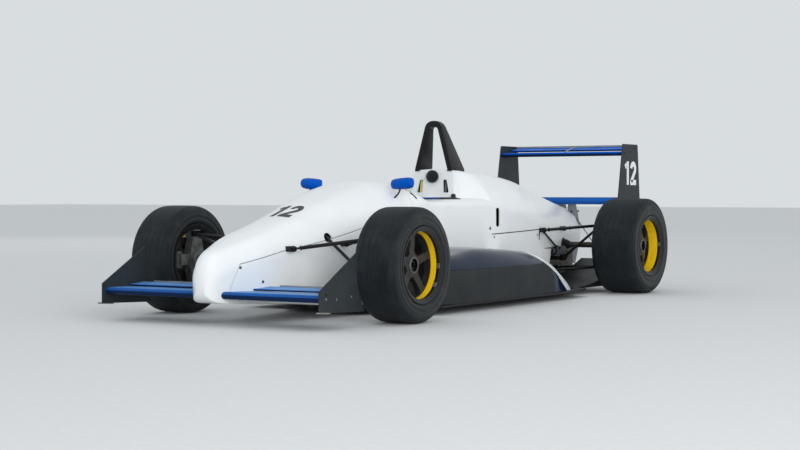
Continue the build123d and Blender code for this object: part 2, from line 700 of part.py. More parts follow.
def make_headrest(engine_bay):
    """Panel that closes the front of the engine cover, with two belt slots, and its pad."""
    slope = math.atan2(PANEL_HEAD - PANEL_FOOT, PANEL_HEAD_Z - DECK_Z)
    plane = Plane(origin=(0, PANEL_FOOT, DECK_Z), x_dir=(1, 0, 0),
                  z_dir=(0, -math.cos(slope), math.sin(slope)))
    slab = extrude(plane * Rectangle(700, 500), amount=-PANEL_THICKNESS)
    panel = slab & engine_bay
    panel -= box_between((-400, PANEL_FOOT - 90, 0), (400, PANEL_FOOT + 300, DECK_Z + 0.4))
    for side in (1, -1):
        slot = [(side * 60, 29), (side * 101, 29), (side * 84, 109), (side * 63, 109)]
        outline = [plane.from_local_coords(Vector(x, z, 0)) for x, z in slot]
        face = make_face(FilletPolyline(*outline, radius=[8, 8, 8, 8], close=True))
        panel -= extrude(face, amount=20, dir=plane.z_dir, both=True)
    centre = plane.from_local_coords(Vector(0, 124, RUNNING_GAP))
    pad = extrude(Plane(origin=centre, z_dir=plane.z_dir) * Circle(HEADREST_R), amount=34)
    pad = fillet(pad.faces().sort_by(Axis.Y)[0].edges(), 10)
    return biggest(panel), pad


def make_seat():
    """Bucket seat: a bent sheet with two side walls, ahead of the bulkhead."""
    sheet = [(-542, 118), (-472, seat_z), (-282, seat_z), (-202, 122), (-44, 500)]
    back = [(-30, 496), (-190, 112), (-278, seat_low_z), (-476, seat_low_z), (-548, 108)]
    face = make_face(Polyline(*[(0, y, z) for y, z in sheet + back], close=True))
    shell = extrude(face, amount=SEAT_HALF_WIDTH, dir=(1, 0, 0), both=True)
    wing = [(-542, 118), (-472, 190), (-312, 220), (-242, 290), (-132, 500)] + back
    for x in (-SEAT_HALF_WIDTH, SEAT_HALF_WIDTH - 9):
        wall = make_face(Polyline(*[(x, y, z) for y, z in wing], close=True))
        shell += extrude(wall, amount=9, dir=(1, 0, 0))
    return Pos(0, SEAT_BULKHEAD, 0) * shell


def steering_plane():
    tilt = math.radians(STEERING_WHEEL_TILT)
    return Plane(origin=STEERING_WHEEL_CENTRE, x_dir=(1, 0, 0),
                 z_dir=(0, math.cos(tilt), math.sin(tilt)))


def make_steering_wheel():
    """Wheel, hub and column about one tilted axis."""
    plane = steering_plane()
    rim = Torus(STEERING_WHEEL_R - 13, 13)
    spokes = Box(2 * STEERING_WHEEL_R - 30, 30, 5) + Pos(0, -50, 0) * Box(28, 110, 5)
    hub = Pos(0, 0, -20) * Cylinder(34, 44)
    column = Pos(0, 0, -20 - COLUMN_LENGTH / 2) * Cylinder(COLUMN_R, COLUMN_LENGTH)
    return plane * (rim + spokes + hub + column)


def make_dashboard(tub_inside):
    plane = steering_plane()
    plate = tub_inside & box_between((-400, DASH_Y, 300), (400, DASH_Y + 12, 655))
    hole = Pos(0, 0, -150) * Cylinder(COLUMN_R + RUNNING_GAP, 400)
    return biggest(plate - plane * hole)


def make_rack_housing(tub_inside):
    tube = x_cylinder(24, -400, 400, STEER_ARM, TRACK_ROD_Z) & tub_inside
    return tube - x_cylinder(RACK_R + 0.1, -400, 400, STEER_ARM, TRACK_ROD_Z)


def make_track_rods():
    """Rack and both track rods in line, with an eye over each steering arm."""
    reach = KINGPIN_X - EYE_R + 2
    bar = x_cylinder(RACK_R, -reach, reach, STEER_ARM, TRACK_ROD_Z)
    for x in (-KINGPIN_X, KINGPIN_X):
        bar += Pos(x, STEER_ARM, TRACK_ROD_Z) * Cylinder(EYE_R, EYE_HEIGHT)
        bar -= Pos(x, STEER_ARM, TRACK_ROD_Z) * Cylinder(EYE_HOLE_R, EYE_HEIGHT + 2)
    return bar


def make_front_knuckle():
    """Left upright with its steering arm, pin and brake caliper."""
    knuckle = make_upright(KINGPIN_X, 0, front_axle_z)
    knuckle += make_caliper(KINGPIN_X, 0, front_axle_z, -1)
    arm_top = TRACK_ROD_Z - EYE_HEIGHT / 2 - RUNNING_GAP
    knuckle += box_between((KINGPIN_X - 11, 20, arm_top - 14),
                           (KINGPIN_X + 11, STEER_ARM + 11, arm_top))
    pin_height = EYE_HEIGHT + 6
    knuckle += Pos(KINGPIN_X, STEER_ARM, arm_top + pin_height / 2 - 1) * Cylinder(
        PIN_R, pin_height)
    return knuckle


def make_mirror(body):
    """Left mirror housing on its stalk, and its glass."""
    x, y, z = MIRROR_CENTRE
    shell = fillet(Box(MIRROR_WIDTH, MIRROR_DEPTH, MIRROR_HEIGHT).edges(), 15)
    recess = Pos(0, MIRROR_DEPTH / 2, 0) * Box(MIRROR_WIDTH - 14, 14, MIRROR_HEIGHT - 14)
    shell = Pos(x, y, z) * (shell - recess)
    stalk = tube_between((x - 4, y - 8, z - MIRROR_HEIGHT / 2 + 4), (x - 46, y - 40, z - 94), 5)
    housing = biggest(shell + stalk - body)
    glass = Box(MIRROR_WIDTH - 15, 3, MIRROR_HEIGHT - 15)
    return housing, Pos(x, y + MIRROR_DEPTH / 2 - 7 + 1.5 + RUNNING_GAP, z) * glass


# Pieces in their order from the nose to the tail
def build_parts():
    parts = {}
    body_clear = front_body(-0.4)
    engine_bay_clear = lofted_body(REAR_SECTIONS, -0.4)
    rear_inside = lofted_body(REAR_SECTIONS, COVER_WALL)
    rear_shell = lofted_body(REAR_SECTIONS, 0) - rear_inside
    tub_inside = front_body(TUB_WALL + 0.4)

    body = front_body(0)
    parts["nose_cover"] = make_nose_cover(body)
    parts["monocoque"] = make_monocoque(body)
    parts["front_wing"], parts["front_flaps"] = make_front_wing(body_clear)
    parts["front_endplates"] = on_both_sides(make_front_endplate())
    housing, glass = make_mirror(body_clear)
    parts["mirror_housings"] = on_both_sides(housing)
    parts["mirror_glasses"] = on_both_sides(glass)

    arms, rods = make_front_suspension(body_clear)
    parts["front_wishbones"] = arms
    parts["front_pushrods"] = rods
    parts["dashboard"] = make_dashboard(tub_inside)
    parts["steering_wheel"] = make_steering_wheel()
    parts["steering_rack"] = make_rack_housing(tub_inside)
    parts["track_rods"] = make_track_rods()
    parts["seat"] = make_seat()
    parts["roll_hoop"] = make_roll_hoop() - body_clear
    parts["headrest_panel"], parts["headrest_pad"] = make_headrest(
        lofted_body(REAR_SECTIONS, COVER_WALL + 0.4))

    parts["engine_cover"] = make_engine_cover(rear_shell, body_clear)
    parts["engine_panels"] = make_engine_panels(rear_shell)
    sidepod = make_sidepod(body_clear, engine_bay_clear)
    parts["sidepod_left"] = sidepod
    parts["sidepod_right"] = mirror(sidepod, about=Plane.YZ)
    parts["radiators"] = on_both_sides(make_radiator(body_clear))
    parts["undertray"] = make_undertray()
    parts["diffuser"] = make_diffuser()
    parts["engine_block"] = make_engine()
    gearbox = make_gearbox()
    parts["gearbox"] = gearbox

    arms, units = make_rear_suspension(engine_bay_clear, gearbox)
    parts["rear_wishbones"] = arms
    parts["rear_pullrods"] = units
    parts["rear_wing"], parts["rear_beam_wing"], parts["rear_endplates"] = make_rear_wing()
    parts["rear_wing_post"] = make_wing_post(parts["rear_beam_wing"])
    parts["wing_stays"] = make_wing_stays(parts["diffuser"])

    wheels = (
        ("front", front_flange_x, front_rim_width, FRONT_TYRE_R, FRONT_TYRE_WIDTH,
         FRONT_TYRE_FACE_X, 0.0, KINGPIN_X, KINGPIN_X - UPRIGHT_THICKNESS / 2 - 8),
        ("rear", rear_flange_x, rear_rim_width, REAR_TYRE_R, REAR_TYRE_WIDTH,
         REAR_TYRE_FACE_X, WHEELBASE, REAR_UPRIGHT_X, OUTPUT_FLANGE_X + RUNNING_GAP),
    )
    for end, flange_x, rim_width, radius, width, face_x, y, upright_x, shaft_x in wheels:
        rim = make_rim(flange_x, rim_width, y, radius, HUB_RECESS)
        tyre = make_tyre(radius, width, face_x, y, radius)
        hub = make_hub(flange_x, HUB_RECESS, upright_x, y, radius, shaft_x)
        if end == "front":
            upright = make_front_knuckle()
        else:
            upright = make_upright(upright_x, y, radius) + make_caliper(upright_x, y, radius, -1)
        for side in ("left", "right"):
            for name, piece in (("rim", rim), ("tyre", tyre), ("hub", hub), ("upright", upright)):
                shape = piece if side == "left" else mirror(piece, about=Plane.YZ)
                parts[f"{name}_{end}_{side}"] = shape
    return parts


def export_parts(parts):
    """Writes each node, moved so that the origin is at the middle of the footprint."""
    length = FRONT_OVERHANG + WHEELBASE + REAR_OVERHANG
    shift = FRONT_OVERHANG - length / 2
    os.makedirs("parts", exist_ok=True)
    for name, shape in parts.items():
        solids = shape if isinstance(shape, list) else [shape]
        moved = [Pos(0, shift, 0) * solid for solid in solids]
        node = moved[0] if len(moved) == 1 else Compound(children=moved)
        export_step(node, f"parts/{name}.step")
        print(name, len(node.solids()), "solids")


export_parts(build_parts())
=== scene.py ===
# %% [markdown]
# # A single-seat racing car, dressed in Blender
# The CAD model gives every piece its size and place. This lesson loads it as a fixed frame, then
# gives each visible surface the shape and finish that plain solids can't have: smooth body skins,
# lathe-turned tyres, cast wheels, rod ends, belts, screws and paint.

# %% Load the frame
import bpy
import bmesh
import math
from mathutils import Matrix, Vector
from mathutils.bvhtree import BVHTree


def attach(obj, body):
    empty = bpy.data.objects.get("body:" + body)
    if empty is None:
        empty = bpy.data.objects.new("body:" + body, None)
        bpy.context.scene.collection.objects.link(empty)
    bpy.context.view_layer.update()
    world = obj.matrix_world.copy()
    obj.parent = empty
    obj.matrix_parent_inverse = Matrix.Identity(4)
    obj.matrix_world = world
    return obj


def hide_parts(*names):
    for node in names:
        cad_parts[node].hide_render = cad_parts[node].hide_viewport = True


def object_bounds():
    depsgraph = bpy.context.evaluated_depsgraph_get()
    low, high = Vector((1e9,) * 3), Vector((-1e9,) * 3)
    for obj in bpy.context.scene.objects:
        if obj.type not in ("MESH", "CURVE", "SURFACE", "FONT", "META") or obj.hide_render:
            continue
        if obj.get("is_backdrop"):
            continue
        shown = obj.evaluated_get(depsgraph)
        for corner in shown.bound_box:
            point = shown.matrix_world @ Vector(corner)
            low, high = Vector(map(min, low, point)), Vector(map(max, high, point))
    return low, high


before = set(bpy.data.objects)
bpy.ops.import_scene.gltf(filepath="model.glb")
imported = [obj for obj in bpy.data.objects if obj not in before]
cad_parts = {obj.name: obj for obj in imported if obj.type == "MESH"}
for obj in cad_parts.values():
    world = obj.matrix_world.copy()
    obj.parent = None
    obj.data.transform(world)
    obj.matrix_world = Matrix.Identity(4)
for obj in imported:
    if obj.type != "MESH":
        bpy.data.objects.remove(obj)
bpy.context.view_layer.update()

# %% [markdown]
# ## Stations
# The car's makers measure along its length from the front axle. The same stations are used here,
# in millimetres, and one function turns them into Blender's metres in the frame of the CAD model.

# %% Stations to metres
AXLE_Y = -1.320
WHEELBASE = 2700
FRONT_AXLE_Z, REAR_AXLE_Z = 273, 289


def at(x, station, z):
    """Point in metres from millimetres left, behind the front axle and above the ground."""
    return Vector((x / 1000, station / 1000 + AXLE_Y, z / 1000))


print("rear axle at", [round(c, 3) for c in at(0, WHEELBASE, REAR_AXLE_Z)])

# %% [markdown]
# ## Colours and shader nodes
# Paint colours are written as sRGB hex values, as on a colour card, and Blender's shaders want
# linear light. One function converts. Another adds any shader node with its settings and links,
# so a material reads from top to bottom like a recipe.

# %% Colour and node helpers
def linear(card):
    """Linear colour with full alpha from an sRGB hex value."""
    channels = [int(card[i:i + 2], 16) / 255 for i in (1, 3, 5)]
    light = [c / 12.92 if c <= 0.04045 else ((c + 0.055) / 1.055) ** 2.4 for c in channels]
    return light + [1.0]


def add(material, kind, settings=None, links=None):
    """Adds one shader node: settings go to its sockets or properties, links to its inputs."""
    made = material.node_tree.nodes.new(kind)
    for key, value in (settings or {}).items():
        if isinstance(key, int) or key in made.inputs:
            made.inputs[key].default_value = value
        else:
            setattr(made, key, value)
    for key, source in (links or {}).items():
        material.node_tree.links.new(source, made.inputs[key])
    return made


def calc(material, operation, *values):
    """Maths on links and plain numbers, in the order given."""
    plain = {i: v for i, v in enumerate(values) if isinstance(v, (int, float))}
    linked = {i: v for i, v in enumerate(values) if i not in plain}
    return add(material, "ShaderNodeMath", {"operation": operation, **plain}, linked).outputs[0]


def ranged(material, value, start, end, low=0.0, high=1.0):
    """Maps a value's run from start to end onto low to high."""
    return add(material, "ShaderNodeMapRange", {"From Min": start, "From Max": end, "To Min": low,
                                                "To Max": high}, {"Value": value}).outputs["Result"]


def wire(material, source, shader, socket="Base Color"):
    """Links a node's output to a socket of the shader."""
    material.node_tree.links.new(source, shader.inputs[socket])


def finish_named(name, card, **sockets):
    """New material and its Principled shader, with plain values set on the shader's sockets."""
    material = bpy.data.materials.new(name)
    material.use_nodes = True
    shader = material.node_tree.nodes["Principled BSDF"]
    shader.inputs["Base Color"].default_value = linear(card)
    for key, value in sockets.items():
        shader.inputs[key.replace("_", " ")].default_value = value
    return material, shader


def two_tone(material, mask, low_card, high_card, low=0.4, high=0.6):
    """Colour that goes from one card to another as a mask rises."""
    ramp = add(material, "ShaderNodeValToRGB", links={"Fac": mask})
    first, last = ramp.color_ramp.elements
    first.position, first.color = low, linear(low_card)
    last.position, last.color = high, linear(high_card)
    return ramp.outputs["Color"]


def grain(material, coordinates, size_mm, detail=2.0, stretch=(1, 1, 1)):
    """Noise whose features are about size_mm across."""
    scaled = add(material, "ShaderNodeVectorMath", {"operation": "MULTIPLY", 1: stretch},
                 {0: coordinates})
    return add(material, "ShaderNodeTexNoise", {"Scale": 1000 / size_mm, "Detail": detail},
               {"Vector": scaled.outputs[0]}).outputs["Fac"]


def relief(material, shader, height, depth_mm, strength=1.0):
    """Bump of a real depth in millimetres."""
    bump = add(material, "ShaderNodeBump", {"Strength": strength, "Distance": depth_mm / 1000},
               {"Height": height})
    wire(material, bump.outputs["Normal"], shader, "Normal")


def spread(material, value, low, high, shader, socket="Roughness"):
    """Maps 0 to 1 onto low to high and links it to a shader socket."""
    wire(material, ranged(material, value, 0.0, 1.0, low, high), shader, socket)


def place(material):
    """Object coordinates, which are metres in the car's own frame."""
    return add(material, "ShaderNodeTexCoord").outputs["Object"]


def mixed(material, factor, low, high):
    """Mix of two colours, each a link or a colour card."""
    made = add(material, "ShaderNodeMix", {"data_type": "RGBA"}, {0: factor})
    for index, colour in ((6, low), (7, high)):
        if isinstance(colour, str):
            made.inputs[index].default_value = linear(colour)
        else:
            material.node_tree.links.new(colour, made.inputs[index])
    return made.outputs[2]


print("helpers ready; mid grey is", round(linear("#808080")[0], 3))

# %% [markdown]
# ## Gelcoat body paint
# The body is glass fibre laid in a mould, with white gelcoat polished to a gloss. The eye reads it
# by its reflection over a faint orange peel about 4 mm across, slight unevenness of the white and
# road dust low down. A coat over a rough base gives the depth; noise at real sizes does the rest.

# %% Gloss paints
def gelcoat(name, card, shade_card, dust_card, dust, roughness, coat, gloss):
    """Polished paint: cards for itself, its unevenness and the dust low down."""
    material, shader = finish_named(name, card, Roughness=roughness, IOR=1.5, Coat_Weight=coat,
                                    Coat_Roughness=0.12, Specular_IOR_Level=gloss)
    coordinates = place(material)
    tone = two_tone(material, grain(material, coordinates, 260, 3), shade_card, card, 0.35, 0.65)
    height = add(material, "ShaderNodeSeparateXYZ", links={"Vector": coordinates}).outputs["Z"]
    low_down = ranged(material, height, 0.32, 0.04, 0.0, dust)
    specks = grain(material, coordinates, 34, 6)
    film = calc(material, "MULTIPLY", low_down, specks)
    wire(material, mixed(material, film, tone, dust_card), shader)
    spread(material, specks, roughness - 0.05, roughness + 0.12, shader)
    relief(material, shader, grain(material, coordinates, 4), 0.03, 0.25)
    return material


white_gelcoat = gelcoat("white_gelcoat", "#F0F2F3", "#EAEDEE", "#BDB7AB", 0.3, 0.3, 0.25, 0.4)
blue_gelcoat = gelcoat("blue_gelcoat", "#1060BE", "#0E56AC", "#4A6288", 0.2, 0.3, 0.1, 0.15)
blue_wing_paint = gelcoat("blue_wing_paint", "#005AC8", "#0052BA", "#3E6FB0", 0.4, 0.42, 0.0, 0.06)
mirror_blue = gelcoat("mirror_blue_enamel", "#0058C2", "#0050B2", "#3E6FB0", 0.1, 0.4, 0.0, 0.08)


def paint_shade_and_sky_reflection(material):
    """Painted shade and a painted sky reflection: faces that look ahead or down turn navy, faces
    that look up turn a streaky pale blue.
    """
    shader = material.node_tree.nodes["Principled BSDF"]
    above = shader.inputs["Base Color"].links[0].from_socket
    facing = add(material, "ShaderNodeNewGeometry").outputs["True Normal"]
    height = add(material, "ShaderNodeSeparateXYZ", links={"Vector": facing}).outputs["Z"]
    # Painted shade: navy on faces that look ahead or down. Painted sky reflection: streaky pale
    # blue on faces that look up.
    shade_mask = ranged(material, height, 0.4, 0.15)
    up = ranged(material, height, 0.975, 0.995)
    streaks = grain(material, place(material), 30, 4, (0.15, 1, 1))
    painted_sky_reflection = two_tone(material, streaks, "#4C8ACE", "#7CACE0", 0.35, 0.7)
    wire(material, mixed(material, shade_mask, mixed(material, up, above, painted_sky_reflection), "#0A2248"), shader)


front_wing_paint = gelcoat("blue_front_wing_paint", "#1458A8", "#124E98", "#3E6FB0",
                           0.4, 0.42, 0.0, 0.1)
# Both wing paints get navy painted shade on their lower and front faces and a pale painted sky
# reflection on their tops.
for paint in (blue_wing_paint, front_wing_paint):
    paint_shade_and_sky_reflection(paint)
print("paints:", white_gelcoat.name, blue_gelcoat.name, blue_wing_paint.name, mirror_blue.name)

# %% [markdown]
# ## Satin and matt finishes
# End plates and floor are black-grey composite sheet, sanded matt; the suspension is steel tube in
# satin black; castings are grit-blasted light alloy. All are the same recipe: a base, a fine grain
# for the blast or sanding marks, a broader cloud for dirt, and a small real depth of relief.

# %% Satin, matt and cast finishes
def worked(name, card, dirt_card, roughness, metallic, grain_mm, depth_mm, cloud_mm=60, **more):
    """Base colour with clouds of dirt and a fine relief, sizes in millimetres."""
    material, shader = finish_named(name, card, Roughness=roughness, Metallic=metallic, **more)
    coordinates = place(material)
    cloud = grain(material, coordinates, cloud_mm, 5)
    wire(material, two_tone(material, cloud, card, dirt_card, 0.42, 0.78), shader)
    spread(material, cloud, roughness - 0.08, roughness + 0.12, shader)
    relief(material, shader, grain(material, coordinates, grain_mm), depth_mm, 0.5)
    return material


sanded_composite = worked("sanded_composite", "#262B2E", "#31373A", 0.5, 0.0, 1.5, 0.05, 140,
                          Specular_IOR_Level=0.3)
floor_composite = worked("floor_composite", "#15181B", "#26282A", 0.46, 0.0, 2.5, 0.06, 90,
                         Specular_IOR_Level=0.3)
black_steel_tube = worked("black_powder_coat", "#0A0B0D", "#161718", 0.34, 0.0, 2.0, 0.03,
                          Specular_IOR_Level=0.4)
hoop_paint = worked("satin_black_hoop_paint", "#0A0C0F", "#12151A", 0.26, 0.0, 3.0, 0.04, 120,
                    Specular_IOR_Level=0.28)
cast_alloy = worked("blasted_cast_alloy", "#8B8C8A", "#5B5A57", 0.52, 0.85, 1.2, 0.08, 40)
oiled_casting = worked("oiled_gearbox_casting", "#55534E", "#2C2A27", 0.5, 0.7, 2.2, 0.12, 50)
brake_iron = worked("ground_brake_iron", "#6C6964", "#4A4642", 0.42, 0.9, 0.8, 0.04, 30)
zinc_steel = worked("zinc_plated_steel", "#B9B8B0", "#8E8C84", 0.28, 1.0, 0.8, 0.01, 12)
shaft_paint = worked("stone_grey_shaft_paint", "#4B4642", "#35312E", 0.45, 0.3, 2.0, 0.05, 40)
soft_rubber = worked("moulded_rubber", "#101112", "#1A1A1A", 0.6, 0.0, 2.0, 0.05)
post_grey = worked("grey_post_plate_paint", "#8A9196", "#747B80", 0.45, 0.1, 2.0, 0.04, 80,
                   Specular_IOR_Level=0.3)
black_plastic = worked("textured_abs", "#15171A", "#1D1F22", 0.5, 0.0, 1.2, 0.06)
print("materials so far:", len(bpy.data.materials))

# %% [markdown]
# ## Pieces and their coordinates
# A wheel's finish has to follow the wheel, whose middle isn't the frame's origin. Turned pieces
# therefore store, at each vertex, its place measured from the axle. The shader reads that as an
# attribute, and the pattern runs round the tyre.

# %% Mesh helpers
def link(obj):
    bpy.context.scene.collection.objects.link(obj)
    return obj


def mesh_piece(name, vertices, faces, material, sharp_deg=35.0):
    """New object from vertices and faces, smooth but for edges sharper than an angle."""
    mesh = bpy.data.meshes.new(name)
    mesh.from_pydata([tuple(v) for v in vertices], [], faces)
    tidy = bmesh.new()
    tidy.from_mesh(mesh)
    bmesh.ops.recalc_face_normals(tidy, faces=tidy.faces)
    tidy.to_mesh(mesh)
    tidy.free()
    mesh.shade_smooth()
    mesh.set_sharp_from_angle(angle=math.radians(sharp_deg))
    mesh.materials.append(material)
    return link(bpy.data.objects.new(name, mesh))


def extruded(name, first, second, material):
    """Solid between two outlines of as many points."""
    count = len(first)
    faces = [list(range(count)), list(range(2 * count - 1, count - 1, -1))]
    faces += [[i, (i + 1) % count, (i + 1) % count + count, i + count] for i in range(count)]
    return mesh_piece(name, first + second, faces, material)


def swept(name, rings, material, sharp_deg=35.0):
    """Solid through rings of points, with flat ends."""
    count = len(rings[0])
    faces = []
    for a in range(0, (len(rings) - 1) * count, count):
        b = a + count
        faces += [[a + i, a + (i + 1) % count, b + (i + 1) % count, b + i] for i in range(count)]
    faces += [list(range(count)), [(len(rings) - 1) * count + i for i in range(count)]]
    return mesh_piece(name, [p for ring in rings for p in ring], faces, material, sharp_deg)


def twin(obj, name):
    """Copy of a piece with a mesh of its own."""
    made = link(obj.copy())
    made.data, made.name = obj.data.copy(), name
    return made


def span(side, near, far):
    """The same reach to the left (side 1) or the right (side -1), lower end first."""
    return sorted((side * near, side * far))


def oblong(low, high, bottom, top):
    """Corners of a rectangle."""
    return [(low, bottom), (low, top), (high, top), (high, bottom)]


def remember_local(obj, centre):
    """Stores each vertex's place from a centre, for patterns that follow a wheel."""
    stored = obj.data.attributes.new("local", "FLOAT_VECTOR", "POINT")
    for vertex, value in zip(obj.data.vertices, stored.data):
        value.vector = vertex.co - centre


def local_place(material):
    return add(material, "ShaderNodeAttribute", {"attribute_name": "local"}).outputs["Vector"]


def bake_modifiers(obj):
    """Turns an object's modifiers into plain mesh."""
    graph = bpy.context.evaluated_depsgraph_get()
    mesh = bpy.data.meshes.new_from_object(obj.evaluated_get(graph))
    obj.modifiers.clear()
    obj.data = mesh
    return obj


def cut(obj, tool, how="DIFFERENCE", keep_tool=False):
    """Exact boolean with another closed piece, applied at once."""
    made = obj.modifiers.new("cut", "BOOLEAN")
    made.operation, made.object, made.solver = how, tool, "EXACT"
    bpy.context.view_layer.update()
    bake_modifiers(obj)
    if not keep_tool:
        bpy.data.objects.remove(tool)
    return obj


def resmooth(obj, sharp_deg=35.0):
    obj.data.shade_smooth()
    obj.data.set_sharp_from_angle(angle=math.radians(sharp_deg))
    return obj


def soften(obj, width_mm, segments=2, angle_deg=40.0):
    """Rounds an object's sharp edges by a real radius."""
    made = obj.modifiers.new("edge radius", "BEVEL")
    made.width, made.segments = width_mm / 1000, segments
    made.limit_method, made.angle_limit = "ANGLE", math.radians(angle_deg)
    made.use_clamp_overlap = True
    return obj


def softened(obj, width_mm, segments=2, angle_deg=40.0):
    return bake_modifiers(soften(obj, width_mm, segments, angle_deg))


def prism(name, outline, low, high, axis="x", material=None):
    """Outline pushed along an axis: (station, z) for x, (x, z) for y and (x, station) for z."""
    spots = {"x": lambda a, b, depth: at(depth, a, b), "z": lambda a, b, depth: at(a, b, depth),
             "y": lambda a, b, depth: at(a, depth, b)}[axis]
    ends = [[spots(a, b, depth) for a, b in outline] for depth in (low, high)]
    return extruded(name, *ends, material or white_gelcoat)


def rounded(points, radii, steps=8):
    """Flat outline with rounded corners."""
    outline = []
    for index, radius in enumerate(radii):
        before, here = Vector(points[index - 1]), Vector(points[index])
        after = Vector(points[(index + 1) % len(points)])
        if radius <= 0:
            outline.append(tuple(here))
            continue
        back, ahead = (before - here).normalized(), (after - here).normalized()
        reach = radius / math.tan(back.angle(ahead) / 2)
        reach = min(reach, 0.49 * (before - here).length, 0.49 * (after - here).length)
        start, end = here + back * reach, here + ahead * reach
        for step in range(steps + 1):
            t = step / steps
            outline.append(tuple(start.lerp(here, t).lerp(here.lerp(end, t), t)))
    return outline


def mirrored(obj, name):
    """Copy of a piece on the car's other side."""
    mesh = obj.data.copy()
    mesh.transform(Matrix.Scale(-1, 4, (1, 0, 0)))
    mesh.flip_normals()
    return link(bpy.data.objects.new(name, mesh))


def fit(piece, body="root", nodes=()):
    """Hangs a piece on the body it rides on and hides the CAD nodes it stands for."""
    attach(piece, body)
    if nodes:
        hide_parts(*nodes)
    return piece


print("a test radius:", len(rounded([(0, 0), (1, 0), (1, 1)], [0.1] * 3)), "points")

# %% [markdown]
# ## Small turned parts
# Bolts, rod ends and pins are all turned about some axis, so one lathe makes them: an outline of
# radius and height goes round an axis through a spot. Six sides give a hexagon, many a round.
# Small parts that belong together are merged into one piece, each face keeping its finish.

# %% A lathe about any axis
def along(axis):
    """Rotation that turns +Z to a direction."""
    return Vector((0, 0, 1)).rotation_difference(Vector(axis).normalized()).to_matrix()


def lathe(name, profile, spot, axis, material, sides=24, closed=False, sharp_deg=35.0):
    """Piece turned from (radius, height) points in millimetres; closed makes a ring of it."""
    turn, count = along(axis), len(profile)
    vertices, faces = [], []
    for step in range(sides):
        angle = math.tau * step / sides
        for radius, height in profile:
            point = Vector((radius * math.cos(angle), radius * math.sin(angle), height))
            vertices.append(spot + turn @ point / 1000)
    for step in range(sides):
        a, b = step * count, (step + 1) % sides * count
        for i in range(count if closed else count - 1):
            j = (i + 1) % count
            faces.append([a + i, b + i, b + j, a + j])
    if not closed:
        faces += [[step * count + end for step in range(sides)] for end in (0, count - 1)]
    return mesh_piece(name, vertices, faces, material, sharp_deg)


def merged(name, pieces, sharp_deg=35.0):
    """One piece of several, each face keeping its finish."""
    vertices, faces, finishes, materials = [], [], [], []
    for piece in pieces:
        start = len(vertices)
        vertices += [vertex.co.copy() for vertex in piece.data.vertices]
        materials += [m for m in piece.data.materials if m not in materials]
        for face in piece.data.polygons:
            faces.append([start + i for i in face.vertices])
            finishes.append(materials.index(piece.data.materials[face.material_index]))
        bpy.data.objects.remove(piece)
    made = mesh_piece(name, vertices, faces, materials[0], sharp_deg)
    for material in materials[1:]:
        made.data.materials.append(material)
    made.data.polygons.foreach_set("material_index", finishes)
    return made


def both_sides(name, pieces):
    """Left pieces and their mirror images as one piece."""
    return merged(name, pieces + [mirrored(piece, piece.name + "_m") for piece in pieces])


def hex_bolt(spot, axis, across, material):
    """Hexagon head with a chamfer, on a round washer."""
    rise = 0.62 * across
    r = across / math.sqrt(3)
    return [lathe("washer", [(1.1 * r, -1), (1.1 * r, 1), (r, 1.4)], spot, axis, material, 20),
            lathe("head", [(r, 0.5), (r, rise - 1), (0.86 * r, rise)], spot, axis, material, 6)]


def tube(start, end, radius, material, neck=0.0, sides=20):
    """Straight tube; a neck length gives it a thin threaded end and a lock nut at its start."""
    length = (end - start).length * 1000
    if neck:
        profile = [(0.55 * radius, 0), (0.55 * radius, neck), (1.25 * radius, neck),
                   (1.25 * radius, neck + 7), (0.95 * radius, neck + 8), (radius, neck + 14)]
    else:
        profile = [(radius, 0)]
    return lathe("tube", profile + [(radius, length)], start, end - start, material, sides)


def bent_tube(name, path, radius, material, sides=12):
    """Round tube that follows a list of points."""
    rings = []
    side = Vector((0, 0, 1)).cross(path[1] - path[0]).normalized()
    for index, point in enumerate(path):
        ahead = (path[min(index + 1, len(path) - 1)] - path[max(index - 1, 0)]).normalized()
        side = (side - ahead * side.dot(ahead)).normalized()
        up = ahead.cross(side)
        angles = [math.tau * step / sides for step in range(sides)]
        rings.append([point + (side * math.cos(a) + up * math.sin(a)) * radius / 1000
                      for a in angles])
    return swept(name, rings, material)


def curve_points(start, bend, end, steps=12):
    """Points on a smooth curve from start to end that leans towards the bend."""
    return [start.lerp(bend, t / steps).lerp(bend.lerp(end, t / steps), t / steps)
            for t in range(steps + 1)]


print("lathe and tubes ready")

# %% [markdown]
# ## The body sections
# Nose, tub and engine cover come from moulds shaped by hand over sections like these. The CAD model
# joins them with straight runs. Here the same sections are joined by smooth curves that never
# overshoot (monotone cubics), which is how a fair line is drawn with a batten.

# %% Sections and smooth rows
FRONT_SECTIONS = (
    (-680, 26, 30, 14, 150, 205, 238, 250),
    (-662, 50, 57, 32, 122, 232, 292, 306),
    (-620, 66, 76, 48, 106, 252, 328, 343),
    (-540, 90, 106, 76, 98, 282, 356, 371),
    (-400, 128, 152, 108, 92, 322, 400, 415),
    (-200, 168, 190, 122, 82, 348, 452, 468),
    (0, 200, 222, 132, 66, 374, 512, 528),
    (200, 232, 252, 145, 54, 448, 578, 593),
    (400, 270, 284, 150, 48, 528, 632, 648),
    (600, 298, 298, 138, 48, 572, 664, 682),
    (700, 300, 300, 156, 48, 580, 662, 678),
    (790, 300, 300, 214, 48, 582, 626, 638),
    (880, 300, 300, 250, 48, 558, 577, 583),
)
REAR_SECTIONS = (
    (1380, 138, 138, 130, 80, 592, 738, 748),
    (1465, 150, 150, 131, 80, 592, 738, 748),
    (1555, 300, 300, 150, 80, 590, 728, 747),
    (1600, 300, 300, 150, 80, 588, 726, 746),
    (1850, 297, 298, 140, 80, 572, 712, 733),
    (2144, 276, 282, 118, 80, 528, 684, 706),
    (2376, 238, 250, 100, 80, 482, 640, 662),
    (2600, 196, 210, 82, 80, 436, 592, 613),
    (2817, 152, 168, 62, 80, 402, 548, 570),
    (3000, 116, 132, 48, 80, 376, 514, 535),
    (3170, 80, 96, 30, 80, 350, 478, 499),
)
TUB_END = 1555


